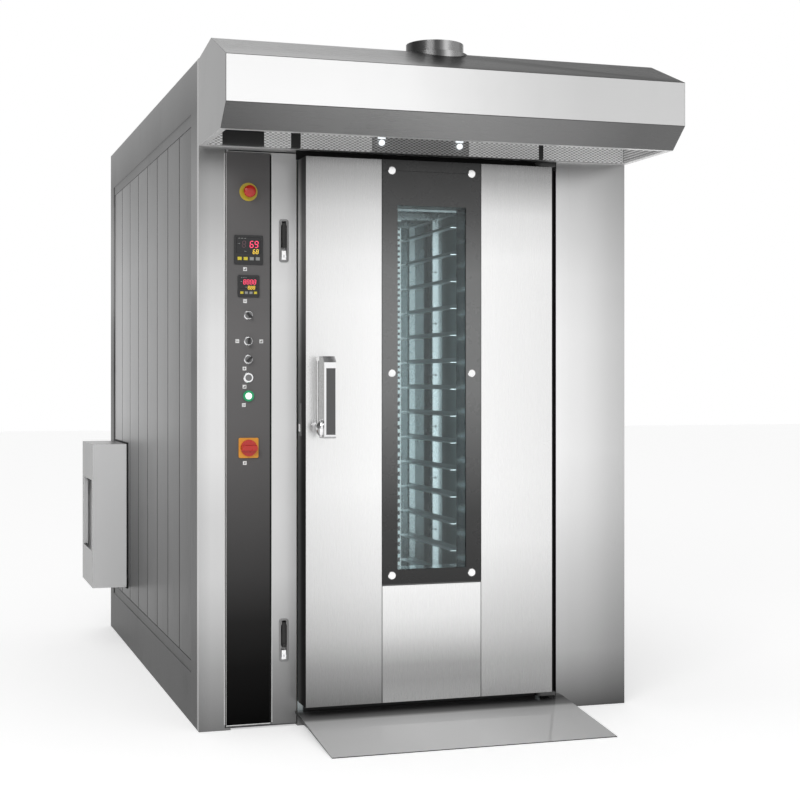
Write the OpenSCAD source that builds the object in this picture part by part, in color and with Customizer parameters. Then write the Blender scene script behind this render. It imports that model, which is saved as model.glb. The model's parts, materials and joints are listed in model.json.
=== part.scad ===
// Rotating rack oven: insulated body, canopy hood, side-hung door, control
// cabinet, turntable with a rack trolley, drive on the roof and a side burner.
// X runs along the front, Y from front to back, Z up.
// The origin is the middle of the body's footprint on the floor.

/* [Body] */
// Width of the body
body_w = 1520; // [1500:1:1600]
// Depth of the body
body_d = 2300; // [2280:1:2500]
// Height of the body
body_h = 2190; // [2180:1:2300]
// Thickness of the outer wall panels
wall_t = 30; // [24:1:40]
// Height of the floor frame with its floor plate
floor_h = 50; // [44:1:60]
// Thickness of the floor plate
floor_plate_t = 5; // [3:1:8]
// Width of the floor frame's rails
floor_rail_w = 60; // [40:5:90]

/* [Side walls] */
// Number of planks along each side
side_planks = 8; // [5:1:10]
// Number of planks across the back
rear_planks = 5; // [3:1:7]
// Width of the plain stile behind the front corner
front_stile_w = 155; // [100:5:200]
// Width of the plain stile at a rear corner
rear_stile_w = 118; // [90:1:160]
// Height of the plain rail under the planks
bottom_rail_h = 168; // [120:1:200]
// Height of the plain rail over the planks
top_rail_h = 160; // [120:1:200]
// Width of the stepped trim round the planks
trim_w = 38; // [20:1:50]
// Depth of the trim's step
trim_step = 3; // [2:1:6]
// Depth by which the planks lie behind the corner stiles
plank_recess = 5; // [3:1:8]
// Depth of the bevel along each plank's edges
plank_bevel = 3; // [3:1:8]

/* [Front] */
// Width of the corner post left of the control door
left_post_w = 86; // [60:1:120]
// Width of the control cabinet's door
control_door_w = 237; // [225:1:260]
// Gap between the control door and its post
control_gap = 3; // [2.5:0.5:5]
// Height of the front opening under the header
opening_h = 1897; // [1890:1:1920]
// Width of the zone for the door's hinges
hinge_zone_w = 62; // [56:1:80]
// Depth by which the hinge jamb is set back
jamb_recess = 12; // [8:1:20]

/* [Oven door] */
// Width of the oven door
door_w = 865; // [850:1:880]
// Height of the oven door
door_h = 1792; // [1780:1:1800]
// Thickness of the oven door
door_t = 103; // [90:1:110]
// Height of the door's lower edge over the floor
door_z = 80; // [70:1:90]
// Gap between door and front, filled by the gasket
door_gap = 8; // [6:1:12]
// Thickness of the door's face sheets
face_t = 3; // [2:0.5:4]
// Width of the shadow joint between face sheets
face_joint = 1.5; // [1:0.5:3]
// Width of the black glass border, outside
border_w = 346; // [330:1:360]
// Height of the seam in the black glass under the door's top edge
seam_drop = 36; // [30:1:50]
// Height of the border's lower edge over the floor
border_z = 470; // [460:1:480]
// Width of the clear window
window_w = 240; // [200:1:260]
// Width of the black border under the window
window_foot = 48; // [40:1:60]
// Width of the black glass over the window
window_head = 150; // [120:1:170]
// Thickness of a window pane
pane_t = 5; // [4:1:8]
// Overlap of a pane over the window's edge
pane_lap = 14; // [10:1:24]
// Diameter of the bright cover caps on the glass
cap_dia = 27; // [22:1:32]
// Distance between the two columns of caps
cap_spacing = 280; // [270:1:300]
// Width of the gasket
gasket_w = 18; // [12:1:20]
// Distance of the gasket from the opening's edge
gasket_edge = 5; // [4:1:8]
// Gap between the gasket and its seat
gasket_air = 0.3; // [0.2:0.1:0.5]

/* [Door hinges] */
// Radius of a hinge pin
hinge_pin_r = 10; // [8:1:12]
// Radial clearance of the hinge pins
hinge_play = 0.05; // [0.03:0.01:0.1]
// Length of a hinge pin inside the door
hinge_pin_l = 36; // [20:1:50]
// Thickness of a hinge bracket
hinge_t = 14; // [8:1:16]
// Gap between a hinge bracket and the door
hinge_air = 4; // [3:1:6]
// Radius of a hinge bracket's round eye
hinge_eye_r = 24; // [20:1:26]
// Distance of the hinge axis from the door's edge
hinge_in = 20; // [18:1:24]
// Distance of the hinge axis in front of the body
hinge_forward = 60; // [58:1:64]

/* [Door handle] */
// Height of the handle's lower end over the floor
handle_z = 957; // [900:1:1000]
// Length of the handle
handle_h = 264; // [220:1:300]
// Width of the handle's bar
handle_w = 40; // [34:1:46]
// Distance of the bar's face from the door
handle_out = 86; // [70:1:90]
// Thickness of the handle's bar
handle_bar_t = 22; // [16:1:26]
// Distance of the bar from the door's free edge
handle_x = 39; // [30:1:50]
// Thickness of the handle's flank
handle_flank = 12; // [8:1:14]
// Radius of the handle's pivot pin
handle_pin_r = 4; // [3:0.5:5]
// Radius of the barrel round the handle's pivot pin
handle_barrel_r = 9; // [8:1:10]

/* [Control cabinet] */
// Depth of the control door
control_door_t = 20; // [18:1:26]
// Depth of the cabinet behind its door
cabinet_d = 220; // [180:5:230]
// Width of the black control fascia
fascia_w = 150; // [140:1:160]
// Thickness of the black control fascia
fascia_t = 3; // [2:0.5:4]
// Height of the fascia's lower edge
fascia_z = 12; // [10:1:20]
// Side of the large controller's front
controller_a = 96; // [92:1:100]
// Side of the small controller's front
controller_b = 72; // [68:1:76]
// Height of the emergency stop
estop_z = 1761; // [1740:1:1780]
// Height of the large controller's centre
controller_a_z = 1571; // [1560:1:1580]
// Height of the small controller's centre
controller_b_z = 1452; // [1445:1:1460]
// Heights of the three rotary selectors
selector_z = [1357, 1272, 1212];
// Height of the ring push button
ring_button_z = 1152; // [1148:1:1156]
// Height of the green push button
green_button_z = 1092; // [1088:1:1096]
// Height of the main switch
isolator_z = 922; // [900:1:950]
// Side of the main switch's plate
isolator_w = 66; // [60:1:70]
// Centre heights of the two door latches
latch_z = [286, 1604];
// Height of a latch dish
latch_h = 142; // [130:1:160]
// Width of a latch dish
latch_w = 32; // [28:1:36]

/* [Hood] */
// Reach of the hood in front of the body
hood_reach = 451; // [400:1:500]
// Distance of the lower lip in front of the body
hood_lip = 367; // [330:1:390]
// Distance of the ridge in front of the body
hood_ridge_out = 212; // [180:1:230]
// Drop of the hood's underside from the roof
hood_drop = 285; // [275:1:287]
// Drop of the hood face's lower edge from the roof
hood_face_drop = 217; // [200:1:230]
// Drop of the hood face's upper edge from the roof
hood_shoulder_drop = 74; // [60:1:90]
// Rise of the hood's ridge over the roof
hood_ridge_rise = 21; // [15:1:40]
// Thickness of the hood's sheet
hood_t = 3; // [2:0.5:4]
// Width of the rim round the underside
hood_rim = 22; // [16:1:40]
// Depth by which the soffit lies above the rim
soffit_rise = 14; // [10:1:24]
// Outer radius of the hood's duct collar
collar_r = 95; // [80:1:100]
// Height of the duct collar's free end
collar_h = 36; // [30:1:60]
// Distance of the collar in front of the body
collar_out = 145; // [130:1:160]

/* [Baking chamber] */
// Half width of the round chamber's square room
chamber_half = 560; // [540:1:575]
// Distance of the chamber's centre behind the front
chamber_d = 905; // [895:1:920]
// Inner height of the baking chamber over the floor
chamber_h = 1930; // [1925:1:1950]
// Depth of the straight way in from the door
tunnel_d = 340; // [300:1:345]
// Distance of the front tunnel's side from the door's edge
tunnel_margin = 42.5; // [40:0.5:46]
// Height of the door opening's top over the floor
tunnel_h = 1840; // [1830:1:1846]
// Thickness of the liner sheet
liner_t = 3; // [2:0.5:4]
// Distance of the rear room's back wall from the front
rear_room_d = 2170; // [2150:1:2200]
// Distance of the slotted air wall from the front
air_wall_d = 1460; // [1440:1:1475]
// Radius of the rounded air columns in the corners
air_column_r = 62; // [50:1:66]

/* [Turntable and rack] */
// Radius of the turntable
table_r = 480; // [460:1:500]
// Thickness of the turntable's plate
table_t = 6; // [5:1:8]
// Width of the rack trolley
rack_w = 740; // [700:1:745]
// Depth of the rack trolley
rack_d = 630; // [600:1:640]
// Height of the rack trolley
rack_h = 1810; // [1790:1:1815]
// Side of the trolley's square tubes
rack_tube = 25; // [20:1:30]
// Number of tray levels
levels = 16; // [10:1:17]
// Distance between tray levels
level_pitch = 103; // [80:1:104]
// Height of the lowest tray runner
level_z = 182; // [182:1:190]
// Width of a tray runner's shelf
runner_w = 30; // [24:1:40]
// Height of a tray runner's upright leg
runner_h = 18; // [12:1:24]
// Thickness of a tray runner's sheet
runner_t = 2; // [1.5:0.5:3]
// Diameter of the castor wheels
wheel_dia = 80; // [70:1:82]
// Width of the castor wheels
wheel_w = 30; // [24:1:34]
// Trail of the swivel castors
castor_trail = 28; // [20:1:30]
// Radius of the castor axles
axle_r = 6; // [5:0.5:8]

/* [Rack drive] */
// Radius of the drive shaft
shaft_r = 20; // [16:1:24]
// Tooth module of the drive gears
gear_module = 4; // [4:1:4]
// Teeth of the gear on the drive shaft
gear_teeth = 60; // [54:3:66]
// Teeth of the gearmotor's pinion
pinion_teeth = 20; // [18:1:22]
// Width of the drive gears
gear_face = 28; // [20:1:32]
// Height of the gearmotor's gearbox
gearbox_h = 96; // [80:1:110]
// Radius of the gearmotor's motor
drive_motor_r = 62; // [50:1:70]

/* [Heating and air] */
// Distance of the fan, drum and burner from the front
heater_d = 1835; // [1825:1:1845]
// Radius of the circulation fan
fan_r = 210; // [180:1:230]
// Number of fan blades
fan_blades = 12; // [8:1:14]
// Height of the fan's blades
fan_blade_h = 80; // [60:1:90]
// Radius of the fan's shaft
fan_shaft_r = 14; // [10:1:16]
// Radius of the fan motor
fan_motor_r = 88; // [70:1:95]
// Height of the burner's centre line
burner_z = 560; // [550:1:580]
// Radius of the combustion drum
drum_r = 210; // [180:1:230]
// Half length of the combustion drum
drum_half = 430; // [400:1:450]
// Radius of a heat exchanger tube
tube_r = 30; // [24:1:34]
// Radius of the burner's blast tube
blast_r = 58; // [50:1:60]
// Outer radius of the burner flue's collar
flue_r = 75; // [60:1:80]
// Height of the burner flue's collar over the roof
flue_h = 110; // [80:5:140]

/* [Burner cover] */
// Depth of the burner cover along the wall
cover_d = 400; // [390:1:440]
// Height of the burner cover
cover_h = 619; // [600:1:650]
// Distance by which the cover stands out of the wall
cover_out = 145; // [140:1:160]
// Distance of the cover's front face behind the oven's front
cover_front = 1754; // [1740:1:1760]
// Height of the cover's lower edge
cover_z = 250; // [240:1:260]
// Width of the cut-out in the cover's outer face
cover_slot_w = 325; // [300:1:340]
// Height of the cut-out in the cover's outer face
cover_slot_h = 305; // [290:1:320]
// Thickness of the cover's sheet
cover_t = 3; // [2:0.5:4]

/* [Ramp] */
// Length of the loading ramp
ramp_l = 470; // [400:5:500]
// Distance by which the ramp is wider than the opening
ramp_lap = 10; // [5:1:12]
// Height of the ramp's front edge
ramp_edge = 3; // [3:0.5:5]
// Thickness of the ramp's sheet
ramp_t = 4; // [3:0.5:5]

/* [Hidden] */
$fn = 64;

// Air left between pieces that only lie beside each other
air = 0.3;
// Radial clearance of the small pivots and stems
play = 0.05;
// Length by which a cutter runs past the face that it cuts
past = 1;

// Places along the front, from left to right
left_x = -body_w / 2;
post_x = left_x + left_post_w;
control_x = post_x + control_gap;
control_end = control_x + control_door_w;
door_x = control_end + control_gap + 1;
door_end = door_x + door_w;
jamb_end = door_end + hinge_zone_w;
door_cx = door_x + door_w / 2;
tunnel_w = door_w - 2 * tunnel_margin;
tunnel_x = door_cx - tunnel_w / 2;
tunnel_end = door_cx + tunnel_w / 2;
inner_x = body_w / 2 - wall_t;
panel_cx = control_x + fascia_w / 2;
strip_cx = (control_x + fascia_w + control_end) / 2;
strip_gap = 2;

// Depth behind the front plane, turned into a place along Y
function dep(d) = -body_d / 2 + d;

// Block from one corner to the other, both as [x, depth, z]
module block(low, high) {
    translate([low[0], dep(low[1]), low[2]])
        cube([high[0] - low[0], high[1] - low[1], high[2] - low[2]]);
}

// Upright round bar at [x, depth], from z0 to z1
module post(x, d, z0, z1, r) {
    translate([x, dep(d), z0]) cylinder(h = z1 - z0, r = r);
}

// Round bar along Y at [x, z], from depth d0 to d1
module pin_y(x, z, d0, d1, r) {
    translate([x, dep(d0), z]) rotate([-90, 0, 0]) cylinder(h = d1 - d0, r = r);
}

// Round bar along X at [depth, z], from x0 to x1
module pin_x(d, z, x0, x1, r) {
    translate([x0, dep(d), z]) rotate([0, 90, 0]) cylinder(h = x1 - x0, r = r);
}

// Outline of a rectangle with round corners, centred
module round_rect(w, h, r) {
    union() {
        square([w - 2 * r, h], center = true);
        square([w, h - 2 * r], center = true);
        for (sx = [-1, 1]) for (sy = [-1, 1])
            translate([sx * (w / 2 - r), sy * (h / 2 - r)]) circle(r = r);
    }
}

// Plate with round corners that faces the front, centred at [x, z]
module face_plate(x, z, w, h, d0, d1, r) {
    translate([x, dep(d1), z]) rotate([90, 0, 0])
        linear_extrude(height = d1 - d0) round_rect(w, h, r);
}

// Upright plank with bevelled edges: width along X, outer face at y = t
module plank(w, h, t) {
    slope = 1.6 * plank_bevel;
    linear_extrude(height = h)
        polygon([[0, 0], [w, 0], [w, t - plank_bevel], [w - slope, t],
            [slope, t], [0, t - plank_bevel]]);
}

// ---- Body ---------------------------------------------------------------

rail_h = floor_h - floor_plate_t;
frame_front = wall_t;
frame_back = body_d - wall_t;

module base_frame() {
    rail = floor_rail_w;
    spans = 4;
    pitch = (frame_back - frame_front - rail) / spans;
    color("dimgray") {
        difference() {
            union() {
                block([-inner_x, frame_front, rail_h], [inner_x, frame_back, floor_h]);
                for (side = [-1, 0, 1])
                    translate([side * (inner_x - rail / 2), 0, 0])
                        block([-rail / 2, frame_front, 0], [rail / 2, frame_back, rail_h]);
                for (i = [0:spans])
                    block([-inner_x, frame_front + i * pitch, 0],
                        [inner_x, frame_front + i * pitch + rail, rail_h]);
                post(0, chamber_d, 0, rail_h, 90);
            }
            // seat of the turntable's spindle
            post(0, chamber_d, -past, floor_h + past, spindle_r);
        }
    }
}

side_low = bottom_rail_h + trim_w;
side_high = body_h - top_rail_h - trim_w;
side_front = front_stile_w;
side_back = body_d - rear_stile_w;
side_trim = 10;

// Picture frame of stiles and rails, face towards +Y, as wide as w
module ring_plate(w, stile_a, stile_b) {
    difference() {
        cube([w, wall_t, body_h]);
        translate([stile_a - side_trim, wall_t - trim_step, bottom_rail_h])
            cube([w - stile_a - stile_b + 2 * side_trim, trim_step + past,
                body_h - bottom_rail_h - top_rail_h]);
        translate([stile_a, -past, side_low])
            cube([w - stile_a - stile_b, wall_t + 2 * past, side_high - side_low]);
    }
}

module casing_frame() {
    color("silver") {
        for (side = [0, 1]) mirror([side, 0, 0])
            translate([-inner_x, dep(wall_t), 0]) rotate([0, 0, 90])
                ring_plate(body_d - wall_t, side_front - wall_t, rear_stile_w);
        translate([-inner_x, dep(body_d - wall_t), 0])
            ring_plate(2 * inner_x, rear_stile_w - wall_t, rear_stile_w - wall_t);
    }
}

module wall_planks() {
    plank_t = wall_t - plank_recess;
    side_w = (side_back - side_front) / side_planks;
    rear_w = (body_w - 2 * rear_stile_w) / rear_planks;
    color("darkgray")
        difference() {
            union() {
                for (side = [0, 1]) mirror([side, 0, 0])
                    for (i = [0:side_planks - 1])
                        translate([-inner_x, dep(side_front + i * side_w), side_low])
                            rotate([0, 0, 90]) plank(side_w, side_high - side_low, plank_t);
                for (i = [0:rear_planks - 1])
                    translate([-body_w / 2 + rear_stile_w + i * rear_w,
                            dep(body_d - wall_t), side_low])
                        plank(rear_w, side_high - side_low, plank_t);
            }
            pin_x(burner_d, burner_z, left_x - past, -inner_x + past, blast_r + 2);
        }
}

roof_z = body_h - wall_t;

module roof_panel() {
    fold = 4;
    sheets = 3;
    w = 2 * inner_x / sheets;
    color("silver")
        difference() {
            union() {
                for (i = [0:sheets - 1])
                    block([-inner_x + i * w, wall_t, roof_z],
                        [-inner_x + (i + 1) * w, body_d - wall_t, body_h - fold]);
                // standing lids of the three roof cassettes
                for (i = [0:sheets - 1])
                    block([-inner_x + i * w + fold, wall_t + fold, body_h - fold],
                        [-inner_x + (i + 1) * w - fold, body_d - wall_t - fold, body_h]);
            }
            post(0, chamber_d, roof_z - past, body_h + past, shaft_r + 4);
            post(0, heater_d, roof_z - past, body_h + past, fan_shaft_r + 4);
            post(flue_x, flue_d, roof_z - past, body_h + past, flue_r + air);
        }
}

module front_frame() {
    color("gainsboro")
        difference() {
            union() {
                block([left_x, 0, 0], [post_x, wall_t, body_h]);
                block([jamb_end, 0, 0], [body_w / 2, wall_t, body_h]);
                block([left_x, 0, opening_h], [body_w / 2, wall_t, body_h]);
                // sill under the oven door
                block([control_end + control_gap, 0, 0], [jamb_end, frame_front, floor_h]);
                // foot bracket of the control door's lower pivot
                block([post_x - past, 0, 0], [pivot_x + pivot_r + 6, frame_front, foot_h]);
            }
            post(pivot_x, pivot_d, opening_h - past, opening_h + pivot_len + 2, pivot_r + play);
            post(pivot_x, pivot_d, -past, foot_h + past, pivot_r + play);
        }
}

module hinge_jamb() {
    rib_w = 22;
    rib_t = 4;
    cx = (door_end + jamb_end) / 2;
    color([0.08, 0.08, 0.08]) {
        block([door_end + 2, jamb_recess, floor_h], [jamb_end, wall_t, opening_h]);
        // rubber rib between the two hinge brackets
        block([cx - rib_w / 2, jamb_recess - rib_t, door_z + hinge_t],
            [cx + rib_w / 2, jamb_recess, door_top - hinge_t]);
    }
}

// ---- Chamber ------------------------------------------------------------

room_front = tunnel_d;

// Room hollow, from its inner faces; grow gives the sheet's outer faces
module room_space(grow) {
    block([-chamber_half - grow, room_front - grow, floor_h - (grow > 0 ? 0 : past)],
        [chamber_half + grow, rear_room_d + grow, chamber_h + grow]);
    block([tunnel_x - grow, grow > 0 ? 0 : -past, floor_h - (grow > 0 ? 0 : past)],
        [tunnel_end + grow, room_front, tunnel_h + grow]);
}

module chamber_liner() {
    color("lightsteelblue")
        difference() {
            union() {
                room_space(liner_t);
                // front flange that the gasket seats on
                block([control_end + control_gap, 0, floor_h], [door_end + 2, liner_t, opening_h]);
            }
            room_space(0);
            post(0, chamber_d, chamber_h - past, chamber_h + liner_t + past, shaft_r + 4);
            post(0, heater_d, chamber_h - past, chamber_h + liner_t + past, fan_shaft_r + 4);
            post(flue_x, flue_d, chamber_h - past, chamber_h + liner_t + past, flue_r + air);
            pin_x(burner_d, burner_z, -chamber_half - liner_t - past, -chamber_half + past,
                blast_r + 2);
        }
}

slot_count = 14;
slot_h = 12;
wall_top = chamber_h - air;

module air_duct_wall() {
    slot_pitch = (chamber_h - floor_h - 200) / slot_count;
    col_r = air_column_r;
    // slotted strips stand between the columns and the return opening
    strip_x = 380;
    strip_w = 44;
    color("lightslategray")
        difference() {
            union() {
                block([-chamber_half, air_wall_d, floor_h],
                    [chamber_half, air_wall_d + liner_t, wall_top]);
                for (side = [-1, 1]) {
                    // quarter-round column in the corner
                    intersection() {
                        post(side * chamber_half, air_wall_d, floor_h, wall_top, col_r);
                        block([-chamber_half, room_front, floor_h],
                            [chamber_half, air_wall_d + liner_t, wall_top]);
                    }
                    translate([side * strip_x, 0, 0])
                        block([-strip_w / 2, air_wall_d - 10, floor_h],
                            [strip_w / 2, air_wall_d, wall_top]);
                }
            }
            for (side = [-1, 1]) for (i = [0:slot_count - 1]) {
                z = floor_h + 100 + (i + 0.5) * slot_pitch;
                translate([side * strip_x, 0, 0])
                    block([-strip_w / 2 + 8, air_wall_d - 10 - past, z - slot_h / 2],
                        [strip_w / 2 - 8, air_wall_d + liner_t + past, z + slot_h / 2]);
            }
            // return opening to the fan, high in the wall
            block([-260, air_wall_d - past, chamber_h - 190],
                [260, air_wall_d + liner_t + past, chamber_h - 60]);
        }
}

module insulation_slabs() {
    side_in = chamber_half + liner_t;
    top_z = chamber_h + liner_t;
    cabinet_back = wall_t + cabinet_d;
    color("khaki")
        difference() {
            union() {
                for (side = [0, 1]) mirror([side, 0, 0])
                    block([side_in, room_front, floor_h], [inner_x, rear_room_d, roof_z]);
                block([-inner_x, rear_room_d + liner_t, floor_h], [inner_x, frame_back, roof_z]);
                block([-side_in, room_front, top_z], [side_in, rear_room_d, roof_z]);
                // behind the control cabinet and behind the right column
                block([-inner_x, cabinet_back, floor_h],
                    [tunnel_x - liner_t, room_front - liner_t, roof_z]);
                block([tunnel_end + liner_t, wall_t, floor_h],
                    [inner_x, room_front - liner_t, roof_z]);
                block([tunnel_x - liner_t, wall_t, tunnel_h + liner_t],
                    [tunnel_end + liner_t, room_front - liner_t, roof_z]);
                block([control_end, wall_t, floor_h],
                    [tunnel_x - liner_t, cabinet_back, roof_z]);
            }
            post(0, chamber_d, top_z - past, roof_z + past, shaft_r + 4);
            post(0, heater_d, top_z - past, roof_z + past, fan_shaft_r + 4);
            post(flue_x, flue_d, top_z - past, roof_z + past, flue_r + air);
            pin_x(burner_d, burner_z, -inner_x - past, -side_in + past, blast_r + 2);
        }
}

module steam_cascade() {
    w = 84;
    h = 1300;
    bars = 12;
    x0 = -chamber_half;
    d0 = room_front + air;
    z0 = floor_h;
    color("gray") {
        // two uprights on a drip tray, with slotted cross bars between them
        block([x0, d0, z0], [x0 + w, d0 + w, z0 + 6]);
        for (end = [0, w - 10])
            block([x0 + end, d0 + w / 2 - 12, z0 + 6], [x0 + end + 10, d0 + w / 2 + 12, z0 + h]);
        for (i = [1:bars])
            block([x0 + 10, d0 + w / 2 - 15, z0 + i * (h - 40) / bars],
                [x0 + w - 10, d0 + w / 2 + 15, z0 + i * (h - 40) / bars + 14]);
    }
}

module chamber_lamp() {
    lamp_w = 60;
    lamp_z = 700;
    lamp_h = 560;
    x = (tunnel_end + chamber_half) / 2;
    color("white") {
        face_plate(x, lamp_z + lamp_h / 2, lamp_w, lamp_h, room_front, room_front + 6, 10);
        intersection() {
            translate([x, dep(room_front + 6), lamp_z + 20]) cylinder(h = lamp_h - 40, r = 22);
            block([x - 22, room_front + 6, lamp_z], [x + 22, room_front + 30, lamp_z + lamp_h]);
        }
    }
}

// ---- Heating ------------------------------------------------------------

burner_d = cover_front + cover_d / 2;
flue_x = 300;
flue_d = heater_d + 150;

tube_rows = 3;
tube_cols = 7;
collector_z = 1350;
collector_h = 140;

module heat_exchanger() {
    wall = 6;
    tube_pitch = 2 * (drum_half - 70) / (tube_cols - 1);
    row_pitch = 105;
    foot_w = 40;
    color("sienna")
        difference() {
            union() {
                pin_x(heater_d, burner_z, -drum_half, drum_half, drum_r);
                for (side = [-1, 1])
                    translate([side * (drum_half - 80), 0, 0])
                        block([-foot_w / 2, heater_d - 150, floor_h],
                            [foot_w / 2, heater_d + 150, burner_z]);
                // upright tubes from the drum to the collector box
                for (i = [0:tube_cols - 1]) for (j = [0:tube_rows - 1])
                    post(-drum_half + 70 + i * tube_pitch, heater_d + (j - 1) * row_pitch,
                        burner_z, collector_z, tube_r);
                block([-drum_half, heater_d - 160, collector_z],
                    [drum_half, heater_d + 160 + flue_r, collector_z + collector_h]);
                // outlet pipe that ends inside the flue collar
                post(flue_x, flue_d, collector_z + collector_h - past, chamber_h - air, flue_r - 12);
            }
            // mouth for the burner's blast tube and the drum's hollow
            pin_x(burner_d, burner_z, -drum_half - past, -drum_half + 2 * wall, blast_r + 2);
            pin_x(heater_d, burner_z, -drum_half + wall, drum_half - wall, drum_r - wall);
        }
}

module gas_burner() {
    face = -(inner_x + wall_t - plank_recess);
    flange = 8;
    body_r = 115;
    body_x = face - flange - 78;
    color("darkred") {
        // mounting flange and blast tube
        pin_x(burner_d, burner_z, face - flange, face, blast_r + 32);
        pin_x(burner_d, burner_z, face - flange, -drum_half + 30, blast_r);
        // blower volute with its outlet
        pin_x(burner_d, burner_z, body_x, face - flange, body_r);
        block([body_x, burner_d, burner_z - body_r],
            [face - flange, burner_d + body_r + 30, burner_z - 20]);
        // fan motor and valve block
        pin_x(burner_d - 30, burner_z + 20, body_x - 38, body_x, 52);
        block([body_x + 10, burner_d - 60, burner_z + body_r - 20],
            [face - flange, burner_d + 60, burner_z + body_r + 70]);
    }
}

module burner_cover() {
    skin = -(inner_x + wall_t - plank_recess);
    out = left_x - cover_out;
    back = cover_front + cover_d;
    slot_z = cover_z + (cover_h - cover_slot_h) / 2;
    slot_d = cover_front + (cover_d - cover_slot_w) / 2;
    hem = 18;
    color("whitesmoke")
        difference() {
            block([out, cover_front, cover_z], [skin, back, cover_z + cover_h]);
            block([out + cover_t, cover_front + cover_t, cover_z + cover_t],
                [skin + past, back - cover_t, cover_z + cover_h - cover_t]);
            block([out - past, slot_d, slot_z],
                [out + cover_t + past, slot_d + cover_slot_w, slot_z + cover_slot_h]);
        }
    color("black")
        difference() {
            // rubber seal round the cover where it meets the wall
            block([skin - 4, cover_front - 6, cover_z - 6],
                [skin, back + 6, cover_z + cover_h + 6]);
            block([skin - 4 - past, cover_front, cover_z], [skin + past, back, cover_z + cover_h]);
        }
    color("whitesmoke")
        // return hems along the cut-out's upright edges
        for (d = [slot_d - 2, slot_d + cover_slot_w])
            block([out + cover_t, d, slot_z], [out + cover_t + hem, d + 2, slot_z + cover_slot_h]);
}

module flue_collar() {
    base_h = 12;
    z0 = chamber_h - 80;
    color("silver")
        difference() {
            union() {
                post(flue_x, flue_d, z0, body_h, flue_r);
                post(flue_x, flue_d, body_h, body_h + base_h, flue_r + 25);
                post(flue_x, flue_d, body_h + base_h, body_h + base_h + flue_h, flue_r);
            }
            post(flue_x, flue_d, z0 - past, body_h + base_h + flue_h + past, flue_r - 2);
        }
}

module fan_motor() {
    plate = 10;
    body_len = 190;
    foot_r = fan_motor_r + 30;
    fins = 18;
    z0 = body_h;
    color("steelblue")
        difference() {
            union() {
                post(0, heater_d, z0, z0 + plate, foot_r);
                post(0, heater_d, z0 + plate, z0 + plate + body_len, fan_motor_r - 10);
                for (i = [0:fins - 1])
                    translate([0, dep(heater_d), z0 + plate + 12]) rotate([0, 0, i * 360 / fins])
                        translate([0, -2, 0]) cube([fan_motor_r - 4, 4, body_len - 50]);
                // fan cowl and terminal box
                post(0, heater_d, z0 + plate + body_len - 24, z0 + plate + body_len + 36,
                    fan_motor_r);
                block([fan_motor_r - 14, heater_d - 40, z0 + plate + 40],
                    [fan_motor_r + 34, heater_d + 40, z0 + plate + 120]);
            }
            post(0, heater_d, z0 - past, z0 + motor_bite + air, fan_shaft_r + play);
        }
}

motor_bite = 60;
fan_deck_z = 1700;

module fan_impeller() {
    disc = 5;
    ring_in = 0.62 * fan_r;
    z0 = fan_deck_z;
    blade_t = 4;
    color("lightgray") {
        translate([0, dep(heater_d), 0]) {
            // back disc, shaft with hub, and inlet ring
            translate([0, 0, z0 + fan_blade_h]) cylinder(h = disc, r = fan_r);
            translate([0, 0, z0 + fan_blade_h - 30])
                cylinder(h = body_h + motor_bite - (z0 + fan_blade_h - 30), r = fan_shaft_r);
            translate([0, 0, z0 + fan_blade_h - 40]) cylinder(h = 40, r = fan_shaft_r + 18);
            difference() {
                translate([0, 0, z0 - disc]) cylinder(h = disc, r = fan_r);
                translate([0, 0, z0 - disc - past]) cylinder(h = disc + 2 * past, r = ring_in);
            }
            // backward-curved blades, each a thin arc
            for (i = [0:fan_blades - 1]) rotate([0, 0, i * 360 / fan_blades])
                fan_blade(z0, blade_t, ring_in);
        }
    }
}

// One blade: an arc of sheet from the inlet ring out to the rim
module fan_blade(z0, t, r_in) {
    arc_r = 0.75 * fan_r;
    sink = 1;
    h = fan_blade_h + 2 * sink;
    intersection() {
        translate([arc_r * 0.66, arc_r * 0.76, z0 - sink]) difference() {
            cylinder(h = h, r = arc_r);
            translate([0, 0, -past]) cylinder(h = h + 2 * past, r = arc_r - t);
        }
        difference() {
            translate([0, 0, z0 - sink]) cylinder(h = h, r = fan_r - 3);
            translate([0, 0, z0 - sink - past]) cylinder(h = h + 2 * past, r = r_in + 4);
        }
        translate([0, -fan_r, z0 - sink]) cube([fan_r, 1.3 * fan_r, h]);
    }
}

// ---- Hood ---------------------------------------------------------------

hood_z = body_h - hood_drop;
hood_face_z = body_h - hood_face_drop;
hood_face_top = body_h - hood_shoulder_drop;
hood_ridge_z = body_h + hood_ridge_rise;

// Section of the hood as [depth, z], drawn in by inset from the outer faces
module hood_section(inset) {
    offset(delta = -inset)
        polygon([[-hood_lip, hood_z], [0, hood_z], [0, body_h - 2], [-hood_ridge_out, hood_ridge_z],
            [-hood_reach, hood_face_top], [-hood_reach, hood_face_z]]);
}

// Prism of the hood's section along X, from x0 to x1
module hood_prism(inset, x0, x1) {
    translate([x0, dep(0), 0]) rotate([90, 0, 90])
        linear_extrude(height = x1 - x0) hood_section(inset);
}

module hood_shell() {
    half = body_w / 2;
    color("silver")
        difference() {
            hood_prism(0, -half, half);
            hood_prism(hood_t, -half + hood_t, half - hood_t);
            block([-half + hood_rim, -hood_lip + hood_rim, hood_z - past],
                [half - hood_rim, -hood_rim, hood_z + hood_t + past]);
            post(0, -collar_out, hood_ridge_z - 60, hood_ridge_z + past, collar_r + 15 + air);
        }
}

module hood_soffit() {
    half = body_w / 2;
    lap = 6;
    x = half - hood_rim + lap;
    d0 = -hood_lip + hood_rim - lap;
    d1 = -hood_rim + lap;
    z0 = hood_z + hood_t;
    color("lightgray")
        difference() {
            block([-x, d0, z0], [x, d1, z0 + soffit_rise]);
            block([-x + 2, d0 + 2, z0 - past], [x - 2, d1 - 2, z0 + soffit_rise - 2]);
        }
}

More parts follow.
